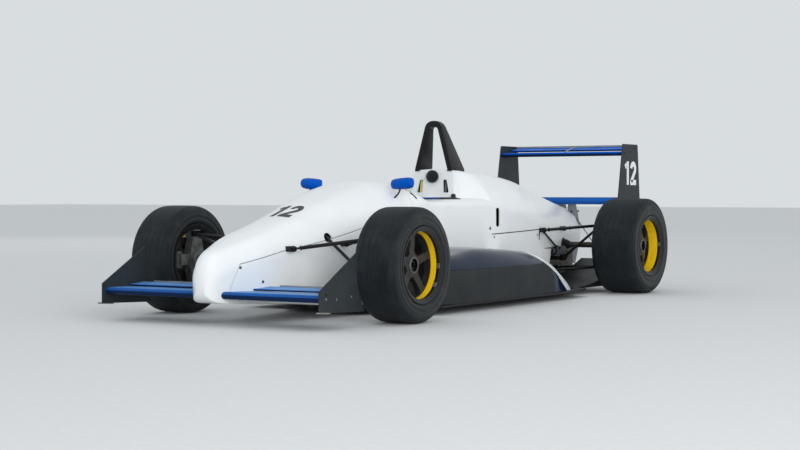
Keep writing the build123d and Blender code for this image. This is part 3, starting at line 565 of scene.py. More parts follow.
def fair_rows(rows, spacing):
    """Rows at an even spacing, on curves through the table's rows that never overshoot."""
    stations = [row[0] for row in rows]
    gaps = [b - a for a, b in zip(stations, stations[1:])]
    columns = []
    for values in list(zip(*rows))[1:]:
        rises = [(b - a) / gap for a, b, gap in zip(values, values[1:], gaps)]
        slopes = [rises[0]]
        for i in range(1, len(rises)):
            near, far = 2 * gaps[i] + gaps[i - 1], gaps[i] + 2 * gaps[i - 1]
            rising = rises[i - 1] * rises[i] > 0
            slopes.append((near + far) / (near / rises[i - 1] + far / rises[i]) if rising else 0)
        columns.append((values, slopes + [rises[-1]]))
    result = []
    for index, gap in enumerate(gaps):
        steps = max(1, round(gap / spacing))
        for step in range(steps):
            t = step / steps
            row = [stations[index] + gap * t]
            for values, slopes in columns:
                a, b = values[index], values[index + 1]
                s, e = slopes[index] * gap, slopes[index + 1] * gap
                row.append(a + t * s + t * t * (3 * (b - a) - 2 * s - e)
                           + t ** 3 * (2 * (a - b) + s + e))
            result.append(row)
    return result + [list(rows[-1])]


def bent(points, shares, arc=7, runs=3):
    """Closed outline with soft corners and evenly split straight runs."""
    outline = []
    count = len(points)
    for index, share in enumerate(shares):
        before, here, after = (Vector(points[(index + k) % count]) for k in (-1, 0, 1))
        reach = share * min((before - here).length, (after - here).length)
        start = here + (before - here).normalized() * reach
        end = here + (after - here).normalized() * reach
        if outline:
            last = Vector(outline[-1])
            outline += [tuple(last.lerp(start, k / runs)) for k in range(1, runs)]
        for step in range(arc + 1):
            t = step / arc
            outline.append(tuple(start.lerp(here, t).lerp(here.lerp(end, t), t)))
    first, last = Vector(outline[0]), Vector(outline[-1])
    outline += [tuple(last.lerp(first, k / (2 * runs))) for k in range(1, 2 * runs)]
    return outline


def body_ring(row, inset=0.0, shoulder=0.46):
    """Cross section of the body as points in metres; a small shoulder share gives a flat top."""
    station, low_x, flank_x, top_x, low_z, knee_z, shoulder_z, crown_z = row
    half = [(low_x - inset, low_z + inset), (flank_x - inset, knee_z - 0.4 * inset),
            (top_x - 0.4 * inset, shoulder_z - 0.9 * inset)]
    points = half + [(0, crown_z - inset)] + [(-x, z) for x, z in reversed(half)]
    outline = bent(points, [0.06, 0.42, shoulder, 0.46, shoulder, 0.42, 0.06])
    return [at(x, station, z) for x, z in outline]


def skin(name, rings, material):
    """Closed smooth solid through rings of points."""
    count = len(rings[0])
    vertices = [p for ring in rings for p in ring]
    faces = [list(range(count))[::-1], [len(vertices) - count + i for i in range(count)]]
    for index in range(len(rings) - 1):
        a, b = index * count, (index + 1) * count
        faces += [[a + i, a + (i + 1) % count, b + (i + 1) % count, b + i] for i in range(count)]
    return mesh_piece(name, vertices, faces, material)


def front_solid(inset=0.0):
    rows = fair_rows(FRONT_SECTIONS, 24)
    rows[0][0] += inset
    tail = [[station] + rows[-1][1:] for station in (1100, 1330, TUB_END)]
    return skin("front_solid", [body_ring(row, inset) for row in rows + tail], white_gelcoat)


# Behind the hoop the cover's top is flat; along this run its corners grow into a round back
FLAT_SHARE, SHARE_RISE = 0.13, 0.33
FLAT_UNTIL, ROUND_RUN = 1465, 680


def rear_solid(inset=0.0):
    rows = fair_rows(REAR_SECTIONS, 40)
    shares = [FLAT_SHARE + SHARE_RISE * min(1.0, max(0.0, (row[0] - FLAT_UNTIL) / ROUND_RUN))
              for row in rows]
    return skin("rear_solid", [body_ring(*both) for both in zip(rows, [inset] * len(rows), shares)],
                white_gelcoat)


print("front rows:", len(fair_rows(FRONT_SECTIONS, 24)))

# %% [markdown]
# ## Nose cover and tub
# The nose cover lifts off the aluminium and composite tub along a seam that rises from the nose's
# flank to the hood. A mould gives one fair surface and the seam is sawn into it afterwards, so the
# smooth solid is cut twice with the same side outline, 3 mm apart, and the dark gap is real.
# Booleans keep the surface fair on both sides, where separate meshes would meet in a kink.

# %% Cut the front body into its two shells
# Millimetres: the sawn seam's width, three wall thicknesses, the gap kept to a neighbour, and the
# station where the seam ends at the hood's rear edge
SEAM = 3.0
SHELL, TUB_WALL, POD_WALL = 5.0, 20.0, 4.0
CLEARANCE = 0.5
SEAM_END = 705
TUB_SIDE = ((-564, -50), (-564, 172), (-520, 281), (-265, 335), (-10, 372), (180, 410), (390, 462),
            (SEAM_END, 530), (SEAM_END, 900), (1605, 900), (1605, -50))
COCKPIT_OUTLINE = rounded([(235, 735), (235, 1312), (-235, 1312), (-235, 735)],
                          [190, 30, 30, 190], 14)


def tub_prism(gap=0.0):
    """Everything under and behind the seam, seen from the side."""
    points = [(y - gap * (y <= SEAM_END), z + gap * (0 < z < 800)) for y, z in TUB_SIDE]
    return prism("tub_prism", points, -450, 450)


def turned(name, profile, centre, material, segments=96, sharp_deg=35.0):
    """Ring turned about the car's width from a closed outline of (x, radius) millimetres."""
    count = len(profile)
    vertices = []
    for step in range(segments):
        angle = math.tau * step / segments
        for x, radius in profile:
            vertices.append(centre + Vector((x, radius * math.sin(angle),
                                             radius * math.cos(angle))) / 1000)
    faces = []
    for step in range(segments):
        a, b = step * count, (step + 1) % segments * count
        for i in range(count):
            j = (i + 1) % count
            faces.append([a + i, a + j, b + j, b + i])
    return mesh_piece(name, vertices, faces, material, sharp_deg)


def pin(name, centre, radius, low, high, material, segments=40):
    """Solid disc or pin along the car's width, for cutting and for hardware."""
    return turned(name, [(low, 0.01), (low, radius), (high, radius), (high, 0.01)], centre,
                  material, segments)


nose_skin = front_solid()
nose_skin.name = "nose_skin"
tub_skin = twin(nose_skin, "tub_skin")
cut(nose_skin, front_solid(SHELL))
cut(nose_skin, tub_prism(SEAM))
cut(nose_skin, prism("beyond", oblong(SEAM_END - SEAM, 1700, -50, 950), -450, 450))
cut(tub_skin, tub_prism(), "INTERSECT")
well = front_solid(TUB_WALL)
cut(well, prism("well", oblong(-500, 1372, 0, 900), -400, 400), "INTERSECT")
cut(tub_skin, well)
cut(tub_skin, prism("opening", COCKPIT_OUTLINE, 480, 900, axis="z"))
for piece, node in ((nose_skin, "nose_cover"), (tub_skin, "monocoque")):
    for side in (1, -1):
        cut(piece, pin("rod_hole", at(0, 42, 392), 24, *span(side, 120, 320), white_gelcoat))
    fit(resmooth(piece), nodes=[node])
print("nose", len(nose_skin.data.polygons), "faces, tub", len(tub_skin.data.polygons), "faces")

# %% [markdown]
# ## Engine cover and flank panels
# One long moulding hides the engine, from the headrest to the tail. Its lower edge follows the
# deck and then a seam to the gearbox; panels below it unscrew, and a small fairing follows them.
# The same method serves: fair solid, hollow, side outline. The roll hoop, the rear wing's two post
# plates and the driveshafts pass through cuts.

# %% Cut the engine cover and the panels under it
COVER_SIDE = ((1409, 543), (1555.3, 543), (1555.3, 381), (2230, 397), (2300, 279), (3105, 276),
              (3200, 480), (3200, 800), (1432, 800), (1430, 748))
PANEL_SIDE = ((1557, 375.5), (2229, 391.5), (2299, 274), (2250, 160), (1900, 100), (1557, 100))
HOOP_FOOT = 735
HOOP_SIDE = ((1477, 560), (1550, 560), (1555, 745), (1452, 1000), (1443, 1020), (1414, 1020),
             (1408, 1000), (1408, HOOP_FOOT), (1477, HOOP_FOOT))


def hoop_solid(grow=0.0):
    """The roll hoop: an A seen from the front, cut to its side outline."""
    outer = [(120 + grow, 545), (120 + grow, 745), (44 + grow, 1020 + grow)]
    inner = [(92 - grow, 530), (92 - grow, 745), (26 - grow, 986)]
    outlines = [rounded(half + [(-x, z) for x, z in reversed(half)], [0, 60, tip, tip, 60, 0], 10)
                for half, tip in ((outer, 58), (inner, 28))]
    front = prism("hoop_front", outlines[0], 1300, 1700, axis="y")
    cut(front, prism("hoop_inner", outlines[1], 1290, 1710, axis="y"))
    side = [(y + grow * (1 if y > 1480 or (z > 990 and y > 1430) else -1),
             z + grow * (1 if z > 1010 else -1 if z == HOOP_FOOT else 0)) for y, z in HOOP_SIDE]
    radii = [0, 0, 0, 20, 10, 10, 20, 0, 0]
    return cut(front, prism("hoop_side", rounded(side, radii), -300, 300), "INTERSECT")


engine_skin = rear_solid()
engine_skin.name = "engine_skin"
panel_skin = twin(engine_skin, "flank_panels")
hollow = rear_solid(SHELL)
cut(engine_skin, hollow, keep_tool=True)
cut(panel_skin, hollow)
cut(engine_skin, prism("cover_side", COVER_SIDE, -450, 450), "INTERSECT")
cut(panel_skin, prism("panel_side", PANEL_SIDE, -450, 450), "INTERSECT")
cut(engine_skin, front_solid(-CLEARANCE))
cut(engine_skin, hoop_solid(2.0))
cut(engine_skin, pin("shaft_hole", at(0, WHEELBASE, REAR_AXLE_Z), 44, -300, 300, white_gelcoat))
for side in (1, -1):
    flank = span(side, 240, 340)
    cut(engine_skin, prism("post_slot", oblong(3074, 3240, 250, 700), *span(side, 32, 42)))
    cut(engine_skin, prism("vent", rounded(oblong(1602, 1644, 420, 526), [12] * 4, 4), *flank))
    cut(panel_skin, prism("latch_slot", rounded(oblong(2184, 2212, 330, 382), [7] * 4, 4), *flank))
    cut(panel_skin, prism("slit", oblong(2268, 2274, 240, 270), *flank))
for piece, node in ((engine_skin, "engine_cover"), (panel_skin, "engine_panels")):
    fit(resmooth(piece), nodes=[node])
FAIRING_SIDE = ((2302.5, 275), (2434, 271), (2408, 186), (2256, 158))
fairing = rear_solid()
fairing.name = "lower_fairing"
cut(fairing, rear_solid(SHELL))
cut(fairing, prism("fairing_side", FAIRING_SIDE, -450, 450), "INTERSECT")
for side in (1, -1):
    cut(fairing, prism("slit", oblong(2316, 2322, 236, 262), *span(side, 150, 340)))
fit(resmooth(fairing))
print("engine cover", len(engine_skin.data.polygons), "faces")

# %% [markdown]
# ## Sidepods
# Each pod leads air to a radiator and then turns in sharply towards the gearbox. Its gloss navy top
# is separate from the matt composite side. Both colours are on one fair surface, so one material
# carries them, with masks drawn as lines on the side view in real millimetres.

# %% Pod finish
def below_line(material, y, z, start, end, blur_mm=1.5):
    """1 below the line through two (station, z) points, 0 above, seen from the side."""
    (y0, z0), (y1, z1) = start, end
    length = math.hypot(y1 - y0, z1 - z0)
    nx, nz = (z1 - z0) / length, -(y1 - y0) / length
    offset = -(nx * (y0 / 1000 + AXLE_Y) + nz * z0 / 1000)
    past = calc(material, "MULTIPLY_ADD", z, nz, calc(material, "MULTIPLY_ADD", y, nx, offset))
    return ranged(material, past, -blur_mm / 2000, blur_mm / 2000)


def product(material, *masks):
    result = masks[0]
    for mask in masks[1:]:
        result = calc(material, "MULTIPLY", result, mask)
    return result


def inverse(material, mask):
    return calc(material, "SUBTRACT", 1.0, mask)


def pod_finish():
    """Navy above, matt side, black edge strip and white band, from lines on the side view."""
    material, shader = finish_named("navy_gelcoat_over_matt_side", "#10192B", IOR=1.5,
                                    Coat_Roughness=0.08, Specular_IOR_Level=0.12)
    coordinates = place(material)
    split = add(material, "ShaderNodeSeparateXYZ", links={"Vector": coordinates})
    y, z = split.outputs["Y"], split.outputs["Z"]
    cloud = grain(material, coordinates, 120, 5)
    navy = two_tone(material, cloud, "#0C1A30", "#10213C", 0.35, 0.7)
    matt = two_tone(material, cloud, "#282B2E", "#303232", 0.35, 0.7)

    def below(*line):
        return below_line(material, y, z, *line)

    ahead = product(material, below((1722, 145), (1744, 40)), below((1632, 225), (1722, 145)))
    side_mask = product(material, below((400, 219), (2000, 219)), ahead)
    colour = mixed(material, side_mask, navy, matt)
    over = inverse(material, below((400, 218), (1560, 218)))
    ahead_of_end = below((1330, 400), (1330, 0))
    strip = product(material, below((400, 221.5), (1560, 221.5)), over, ahead_of_end)
    colour = mixed(material, strip, colour, "#050507")
    band = product(material, below((1640, 282), (1985, 84)),
                   inverse(material, below((1560, 262), (1905, 76))), inverse(material, side_mask))
    wire(material, mixed(material, band, colour, "#DDE0E2"), shader)
    spread(material, side_mask, 0.12, 0.5, shader)
    spread(material, side_mask, 0.16, 0.0, shader, "Coat Weight")
    relief(material, shader, grain(material, coordinates, 5), 0.03, 0.25)
    return material


pod_paint = pod_finish()
print("pod finish has", len(pod_paint.node_tree.nodes), "nodes")

# %% Pod surfaces
POD_SECTIONS = (
    (450, 588, 600, 540, 190, 280, 286),
    (733, 612, 622, 550, 212, 296, 302),
    (970, 618, 626, 550, 220, 318, 324),
    (1196, 618, 626, 548, 218, 308, 320),
    (1433, 616, 622, 540, 212, 292, 308),
    (1632, 606, 612, 530, 204, 276, 292),
    (1745, 604, 608, 522, 180, 246, 268),
    (1860, 590, 588, 512, 138, 200, 230),
    (1970, 572, 566, 500, 100, 150, 184),
    (2070, 548, 540, 480, 76, 104, 134),
    (2160, 520, 510, 455, 62, 72, 86),
)


def pod_ring(row, inset=0.0):
    station, low_x, wide_x, ridge_x, wide_z, ridge_z, top_z = row
    bottom, inner = (48.3, 240) if inset == 0 else (38, 220)
    points = [(inner, bottom), (low_x - inset, bottom), (wide_x - inset, wide_z),
              (ridge_x - 0.6 * inset, ridge_z - inset), (inner, top_z - inset)]
    return [at(x, station, z) for x, z in bent(points, [0, 0.05, 0.46, 0.46, 0], 8)]


def pod_surface(inset=0.0, ahead=0.0):
    rows = fair_rows(POD_SECTIONS, 45)
    rows[0][0] -= ahead
    rows[-1][0] -= inset
    return skin("pod", [pod_ring(row, inset) for row in rows], pod_paint)


pod_left = pod_surface()
pod_left.name = "pod_left"
cut(pod_left, pod_surface(POD_WALL, 10.0))
cut(pod_left, front_solid(-CLEARANCE))
cut(pod_left, rear_solid(-CLEARANCE))
resmooth(pod_left, 50)
pod_right = mirrored(pod_left, "pod_right")
fit(pod_left, nodes=["sidepod_left"])
fit(pod_right, nodes=["sidepod_right"])
print("pod", len(pod_left.data.polygons), "faces")

# %% [markdown]
# ## Slick tyres
# A racing slick has no tread: soft compound, rubbed matt and faintly streaked round its width, over
# a harder, smoother sidewall with moulded rings. It is turned from one outline about the axle. The
# shader works in the wheel's own coordinates: streaks change across the width, rings with radius.

# %% Tyre rubber
def rubber_finish():
    """Streaked tread and ringed walls, split by the distance from the axle."""
    material, shader = finish_named("slick_tyre_rubber", "#191D20", Roughness=0.6, IOR=1.52,
                                    Specular_IOR_Level=0.22)
    local = local_place(material)
    parts = add(material, "ShaderNodeSeparateXYZ", links={"Vector": local})
    flat = add(material, "ShaderNodeCombineXYZ", links={"Y": parts.outputs["Y"],
                                                        "Z": parts.outputs["Z"]})
    radius = add(material, "ShaderNodeVectorMath", {"operation": "LENGTH"},
                 {0: flat.outputs[0]}).outputs["Value"]
    ringed = add(material, "ShaderNodeCombineXYZ", links={"X": radius})
    rings = grain(material, ringed.outputs[0], 7, 3)
    streaks = grain(material, local, 5, 4, (1, 0.05, 0.05))
    cloud = grain(material, local, 70, 5)
    tread = ranged(material, radius, 0.243, 0.256)
    wall_tone = two_tone(material, rings, "#24282B", "#181B1D", 0.4, 0.62)
    tread_tone = two_tone(material, streaks, "#12171B", "#1C2328", 0.38, 0.66)
    colour = mixed(material, tread, wall_tone, tread_tone)
    dusty = two_tone(material, cloud, "#000000", "#FFFFFF", 0.5, 0.85)
    wire(material, mixed(material, calc(material, "MULTIPLY", dusty, 0.07), colour, "#7D7669"),
         shader)
    spread(material, tread, 0.42, 0.58, shader)
    relief(material, shader, calc(material, "ADD", streaks, rings), 0.12, 0.5)
    return material


tyre_rubber = rubber_finish()


def tyre_outline(face_x, width, radius):
    """Outline of the tyre's section: bead, protecting rib, mould step, shoulder and crown."""
    half = width / 2
    bead = half - 18.6
    side = [(bead, 165.6), (bead + 5, 182.9), (half - 7, 186), (half - 1, 194), (half, 206),
            (half - 2.5, 213), (half - 0.6, radius - 44), (half - 2.6, radius - 40),
            (half - 6, radius - 17), (half - 25, radius - 1.8)]
    points = side + [(half * 0.4, radius), (-half * 0.4, radius)]
    points += [(-x, r) for x, r in reversed(side)]
    points += [(-bead + 9, 165.6), (-half + 13, 200), (-half + 15, radius - 22),
               (half - 15, radius - 22), (half - 13, 200), (bead - 9, 165.6)]
    radii = [0, 5, 8, 10, 8, 4, 3, 3, 26, 60, 0, 0, 60, 26, 3, 3, 4, 8, 10, 8, 5, 0] + [0] * 6
    middle = face_x - half
    return [(middle + x, r) for x, r in rounded(points, radii, 5)]


print("tyre outline:", len(tyre_outline(786, 230, 273)), "points")

# %% [markdown]
# ## Cast wheels
# Five broad spokes are cast in light alloy and painted dark grey, inside a black rim whose inner
# band is yellow. The barrel is turned. The spokes are turned too, as one dished disc, and the five
# windows between them are cut with rounded outlines and their edges given a casting's soft radius.

# %% Wheel finishes
def wheel_paint(name, card, worn_card, roughness, metallic):
    """Paint or metal whose wear follows the wheel."""
    material, shader = finish_named(name, card, Roughness=roughness, Metallic=metallic)
    local = local_place(material)
    cloud = grain(material, local, 30, 5)
    wire(material, two_tone(material, cloud, card, worn_card, 0.4, 0.75), shader)
    spread(material, cloud, roughness - 0.08, roughness + 0.1, shader)
    relief(material, shader, grain(material, local, 1.5), 0.05, 0.4)
    return material


spoke_paint = wheel_paint("dark_grey_cast_magnesium", "#26282C", "#35322F", 0.42, 0.2)
rim_lacquer = wheel_paint("black_rim_lacquer", "#08090A", "#131314", 0.42, 0.0)
yellow_paint = wheel_paint("yellow_rim_paint", "#FFD21A", "#EFC010", 0.35, 0.0)
machined_alloy = wheel_paint("machined_hub_alloy", "#7C7D7E", "#5C5A57", 0.38, 0.9)
dark_steel = wheel_paint("blued_nut_steel", "#232427", "#33312F", 0.35, 0.8)
weight_lead = wheel_paint("stick_on_weight_zinc", "#8D9092", "#74716C", 0.45, 0.6)
print("wheel finishes:", spoke_paint.name, yellow_paint.name)

# %% Wheels
WINDOW = ((59, -13), (59, 13), (96, 24.5), (152, 29.5), (158, 0), (152, -29.5), (96, -24.5))


def window_prism(turn_deg, centre):
    """Rounded window between two spokes, pushed through the wheel."""
    points = []
    for radius, angle in WINDOW:
        bearing = math.radians(angle + turn_deg)
        points.append((radius * math.sin(bearing), radius * math.cos(bearing)))
    outline = rounded(points, [8, 8, 40, 15, 60, 15, 40], 6)
    ends = [[centre + Vector((x, a, b)) / 1000 for a, b in outline] for x in (-400, 400)]
    return extruded("window", *ends, spoke_paint)


def spoke_disc(name, flange_x, depth, centre):
    """Dished disc of spokes that meets the barrel at a depth behind the flange."""
    face, root = flange_x - 56, flange_x - depth
    disc = turned(name, [
        (face, 31), (face, 47), (face - 4, 56), (face - 9, 72), (0.6 * face + 0.4 * root - 6, 100),
        (root - 6, 128), (root - 1, 146), (root, 156), (root - 34, 156),
        (root - 36, 140), (root - 34, 100), (face - 40, 60), (face - 40, 31)],
        centre, spoke_paint, 120, sharp_deg=50)
    middle = centre + Vector((face / 1000, 0, 0))
    for index in range(5):
        cut(disc, window_prism(36 + 72 * index, middle))
    return resmooth(softened(disc, 3.2, 3, 38), 40)


def wheel_nut(name, face_x, centre):
    """Six-sided nut with a chamfer and a hollow end."""
    points = [(26 * math.sin(math.tau * k / 6), 26 * math.cos(math.tau * k / 6)) for k in range(6)]
    ends = [[centre + Vector((x, a, b)) / 1000 for a, b in points]
            for x in (face_x - 30, face_x - 6)]
    nut = extruded(name, *ends, dark_steel)
    cut(nut, pin("bore", centre, 13, face_x - 20, face_x, dark_steel, 32))
    return resmooth(softened(nut, 1.6, 2, 30), 30)


def weight(name, centre, flange_x, angle_deg):
    """Stick-on balance weight inside the rim."""
    outline = rounded([(-12, 0), (12, 0), (12, 3.4), (-12, 3.4)], [0, 0, 1.5, 1.5], 3)
    turn = Matrix.Rotation(-math.radians(angle_deg), 3, "X")
    ends = [[centre + (turn @ Vector((x, a, 157.6 - b))) / 1000 for a, b in outline]
            for x in (flange_x - 22, flange_x - 6)]
    return extruded(name, *ends, weight_lead)


def wheel_pieces(end, face_x, width, radius, station, depth, weights):
    """All the visible pieces of a left wheel."""
    centre = at(0, station, radius)
    flange = face_x - 4
    inner = flange - (width - 8)
    tyre = turned(f"tyre_{end}", tyre_outline(face_x, width, radius), centre, tyre_rubber, 144)
    lip = [(flange - 1, 174), (flange, 178), (flange - 1.5, 182.5), (flange - 8, 182.5),
           (flange - 14, 166), (flange - 50, 165.2), (flange - 60, 160.4), (inner + 20, 160.4),
           (inner + 8, 182.5), (inner, 182.5), (inner + 2, 172), (inner + 12, 156),
           (flange - 60, 156), (flange - 30, 157.6), (flange - 12, 158.5)]
    barrel = turned(f"rim_{end}", lip, centre, rim_lacquer, 120)
    band = turned(f"rim_band_{end}", [(flange - 25, 158.2), (flange - 25, 157.1),
                                      (flange - min(depth, 58), 155.2),
                                      (flange - depth - 3, 154.9), (flange - depth - 3, 156.8)],
                  centre, yellow_paint, 120)
    disc = spoke_disc(f"spokes_{end}", flange, depth, centre)
    face = flange - 56
    ring = turned(f"hub_ring_{end}", [
        (face + 0.4, 30.6), (face + 5, 30.6), (face + 7, 32.4), (face + 7, 36), (face + 3, 41),
        (face + 0.4, 41)], centre, machined_alloy, 72)
    well = turned(f"hub_well_{end}", [(face - 30, 0.01), (face - 30, 30.8), (face + 0.2, 30.8),
                                      (face + 0.2, 30), (face - 28, 29.4), (face - 28, 0.01)],
                  centre, dark_steel, 48)
    nut = wheel_nut(f"wheel_nut_{end}", face + 2, centre)
    made = [tyre, barrel, band, disc, ring, well, nut]
    made += [weight(f"balance_weight_{end}_{i}", centre, flange, a) for i, a in enumerate(weights)]
    for piece in made:
        remember_local(piece, centre)
    return made


# Columns: end, outer face x, tyre width, tyre radius, station, depth of the spokes, weight angles
WHEELS = (("front", 786, 230, FRONT_AXLE_Z, 0, 54, (93, 128)),
          ("rear", 782, 282, REAR_AXLE_Z, WHEELBASE, 80, (88, 214)))
for end, face_x, width, radius, station, depth, weights in WHEELS:
    left = wheel_pieces(end, face_x, width, radius, station, depth, weights)
    right = [mirrored(piece, piece.name + "_right") for piece in left]
    for side, pieces in (("left", left), ("right", right)):
        for piece in pieces:
            if side == "left":
                piece.name = piece.name + "_left"
            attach(piece, f"wheel_{end}_{side}")
        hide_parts(f"tyre_{end}_{side}")
        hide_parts(f"rim_{end}_{side}")

# %% [markdown]
# ## Roll hoop
# The hoop is a broad A of folded sheet steel under satin black paint. It was already needed as a
# cutter for the engine cover, so the same function makes the piece, with its edges given the radius
# of a fold.

# %% Roll hoop
hoop = hoop_solid()
hoop.name = "hoop"
cut(hoop, front_solid(-CLEARANCE))
hoop.data.materials.clear()
hoop.data.materials.append(hoop_paint)
fit(resmooth(softened(hoop, 9, 4, 35), 40), nodes=["roll_hoop"])
print("hoop", len(hoop.data.polygons), "faces")

# %% [markdown]
# ## Headrest panel, pad and belts
# A panel closes the front of the engine cover. It is the same fair solid cut to a slab that leans
# back a little, so its outline meets the cover. The pad is a disc of foam under a black knitted
# cover. A short strap shows in each of the panel's two slots, and the shoulder belts start on the
# deck before it. All are flat webbing, modelled as a ribbon with thickness.

# %% Panel and pad
PANEL_SLAB = ((1395, 560), (1425, 560), (1447, 760), (1417, 760))
PANEL_NORMAL = Vector((0, -1, 0.11)).normalized()
BELT_SLOT = ((67, 613), (106, 613), (88, 686), (65, 686))
panel = rear_solid(-0.3)
panel.name = "headrest_plate"
cut(panel, prism("slab", PANEL_SLAB, -200, 200), "INTERSECT")
softened(panel, 11, 5, 50)
cut(panel, front_solid(-0.4))
for side in (1, -1):
    outline = rounded([(side * x, z) for x, z in BELT_SLOT], [8] * 4, 5)
    cut(panel, prism("belt_slot", outline, 1380, 1500, axis="y"))
    pocket = rounded([(side * x, z) for x, z in ((50, 600), (122, 600), (104, 700), (50, 700))],
                     [8] * 4, 5)
    cut(panel, prism("slot_pocket", pocket, 1414, 1500, axis="y"))
    cut(engine_skin, prism("belt_slot", outline, 1400, 1500, axis="y"))
resmooth(engine_skin)
fit(resmooth(panel), nodes=["headrest_panel"])


def knitted(name, card, worn_card, loop_mm):
    """Knitted or woven fabric: two crossed waves for the loops and a soft sheen."""
    material, shader = finish_named(name, card, Roughness=0.85, Sheen_Weight=0.35,
                                    Specular_IOR_Level=0.2)
    coordinates = place(material)
    cloud = grain(material, coordinates, 25, 4)
    wire(material, two_tone(material, cloud, card, worn_card, 0.4, 0.75), shader)
    waves = [add(material, "ShaderNodeTexWave",
                 {"Scale": 1000 / loop_mm / 20, "bands_direction": direction},
                 {"Vector": coordinates}).outputs["Fac"] for direction in "XZ"]
    relief(material, shader, calc(material, "MULTIPLY", *waves), 0.4, 0.6)
    return material


pad_fabric = knitted("black_knitted_foam_cover", "#15171B", "#202328", 2.0)
black_webbing = knitted("black_polyester_webbing", "#101114", "#1B1C20", 2.5)
yellow_webbing = knitted("pale_yellow_webbing", "#D8D08A", "#BDB474", 2.5)
grey_webbing = knitted("grey_webbing", "#5E6268", "#4A4E54", 2.5)
seat_fabric = knitted("black_seat_fabric", "#141519", "#1E1F24", 3.0)
pad_spot = at(0, 1411.5, 703)
pad = lathe("head_pad", [(33, -3), (35.2, 2), (36, 8), (35.6, 16), (33.6, 22), (29, 25.6),
                         (20, 27.4), (10, 28.2), (1, 28.5)], pad_spot, PANEL_NORMAL, pad_fabric, 48,
            sharp_deg=80)
cord = [(33.4 + 1.3 * math.cos(k * math.pi / 4), 22.4 + 1.3 * math.sin(k * math.pi / 4))
        for k in range(8)]
seam = lathe("pad_seam", cord, pad_spot, PANEL_NORMAL, black_webbing, 48, True)
pad = fit(merged("head_pad", [pad, seam], 70), nodes=["headrest_pad"])
print("panel", len(panel.data.polygons), "faces, pad", len(pad.data.polygons), "faces")


# %% Belts
def strap(name, path, width, material, thick=2.0, across=(1, 0, 0)):
    """Flat webbing along points in millimetres, its width along one direction."""
    points = [at(*p) for p in path]
    smooth = []
    for index in range(len(points) - 1):
        p0, p1, p2, p3 = (points[min(max(index + k, 0), len(points) - 1)] for k in (-1, 0, 1, 2))
        for step in range(4):
            t = step / 4
            smooth.append(0.5 * (2 * p1 + (p2 - p0) * t + (2 * p0 - 5 * p1 + 4 * p2 - p3) * t * t
                                 + (3 * p1 - p0 - 3 * p2 + p3) * t ** 3))
    smooth.append(points[-1])
    side = Vector(across).normalized() * width / 2000
    rings = []
    for index, point in enumerate(smooth):
        ahead = smooth[min(index + 1, len(smooth) - 1)] - smooth[max(index - 1, 0)]
        up = ahead.cross(side).normalized() * thick / 2000
        rings.append([point - side * 0.97 - up, point + side * 0.97 - up, point + side,
                      point + side * 0.97 + up, point - side * 0.97 + up, point - side])
    return swept(name, rings, material, 60)


# Columns: side, finish, slot x, strap width in the slot
SLOT_STRAPS = ((-1, yellow_webbing, 77, 21), (1, grey_webbing, 80, 12))
for side, finish, x, width in SLOT_STRAPS:
    path = [(side * x, 1424, 700), (side * x, 1419, 680), (side * x, 1414, 650),
            (side * x, 1411, 625), (side * x, 1411, 600)]
    name = f"slot_strap_{'left' if side > 0 else 'right'}"
    fit(strap(name, path, width, finish))
SHOULDER = ((76, 1392, 584.5), (75, 1372, 585.4), (74, 1340, 585.6), (72, 1316, 585.2),
            (71, 1304, 578), (69, 1299, 552), (67, 1294, 512), (62, 1262, 430), (56, 1222, 330),
            (50, 1178, 226), (42, 1150, 178), (20, 1122, 150))
LAP = ((176, 1150, 118), (150, 1142, 120), (96, 1124, 132), (50, 1112, 142), (14, 1106, 146))
CROTCH = ((0, 1060, 92), (0, 1084, 104), (0, 1104, 138))
BELT_WIDTH = 46
harness = []
for side in (1, -1):
    shoulder, lap = ([(side * x, y, z) for x, y, z in path] for path in (SHOULDER, LAP))
    harness.append(strap("shoulder", shoulder, BELT_WIDTH, black_webbing))
    harness.append(strap("lap", lap, BELT_WIDTH, black_webbing, across=(0, 0.35, 0.94)))
    adjuster = rounded([(side * 46, 486), (side * 96, 486), (side * 96, 514), (side * 46, 514)],
                       [5] * 4, 4)
    harness.append(prism("adjuster", adjuster, 1286, 1290, "y", zinc_steel))
harness.append(strap("crotch", CROTCH, BELT_WIDTH, black_webbing))
harness.append(lathe("buckle", [(27, 0), (29, 4), (29, 11), (25, 16), (14, 18), (1, 18.5)],
                     at(0, 1104, 146), (0, -0.55, 0.83), zinc_steel, 40))
fit(merged("harness", harness, 60))

# %% Seat pads
def cushion(name, corners, normal, depth_mm, channels, material, count=28):
    """Crowned pad over four corner points, with sewn channels running from front to back."""
    a, b, c, d = (at(*corner) for corner in corners)
    normal = Vector(normal).normalized()
    vertices, faces = [], []
    for layer in (0, 1):
        for row in range(count + 1):
            v = row / count
            for column in range(count + 1):
                u = column / count
                edge = (1 - abs(2 * u - 1) ** 7) * (1 - abs(2 * v - 1) ** 7)
                groove = abs(math.sin(math.pi * u * channels)) ** 0.35
                rise = depth_mm * max(edge, 0) ** 0.5 * (0.45 + 0.55 * groove)
                point = a.lerp(b, u).lerp(d.lerp(c, u), v)
                vertices.append(point + normal * (layer * (rise + 0.8) / 1000))
    stride, layer_size = count + 1, (count + 1) ** 2
    for row in range(count):
        for column in range(count):
            i = row * stride + column
            faces.append([i, i + 1, i + stride + 1, i + stride])
            faces.append([layer_size + k for k in (i, i + stride, i + stride + 1, i + 1)])
    rim = list(range(count)) + [r * stride + count for r in range(count)]
    rim += [count * stride + c for c in range(count, 0, -1)]
    rim += [r * stride for r in range(count, 0, -1)]
    for here, there in zip(rim, rim[1:] + rim[:1]):
        faces.append([here, there, there + layer_size, here + layer_size])
    return mesh_piece(name, vertices, faces, material, 70)


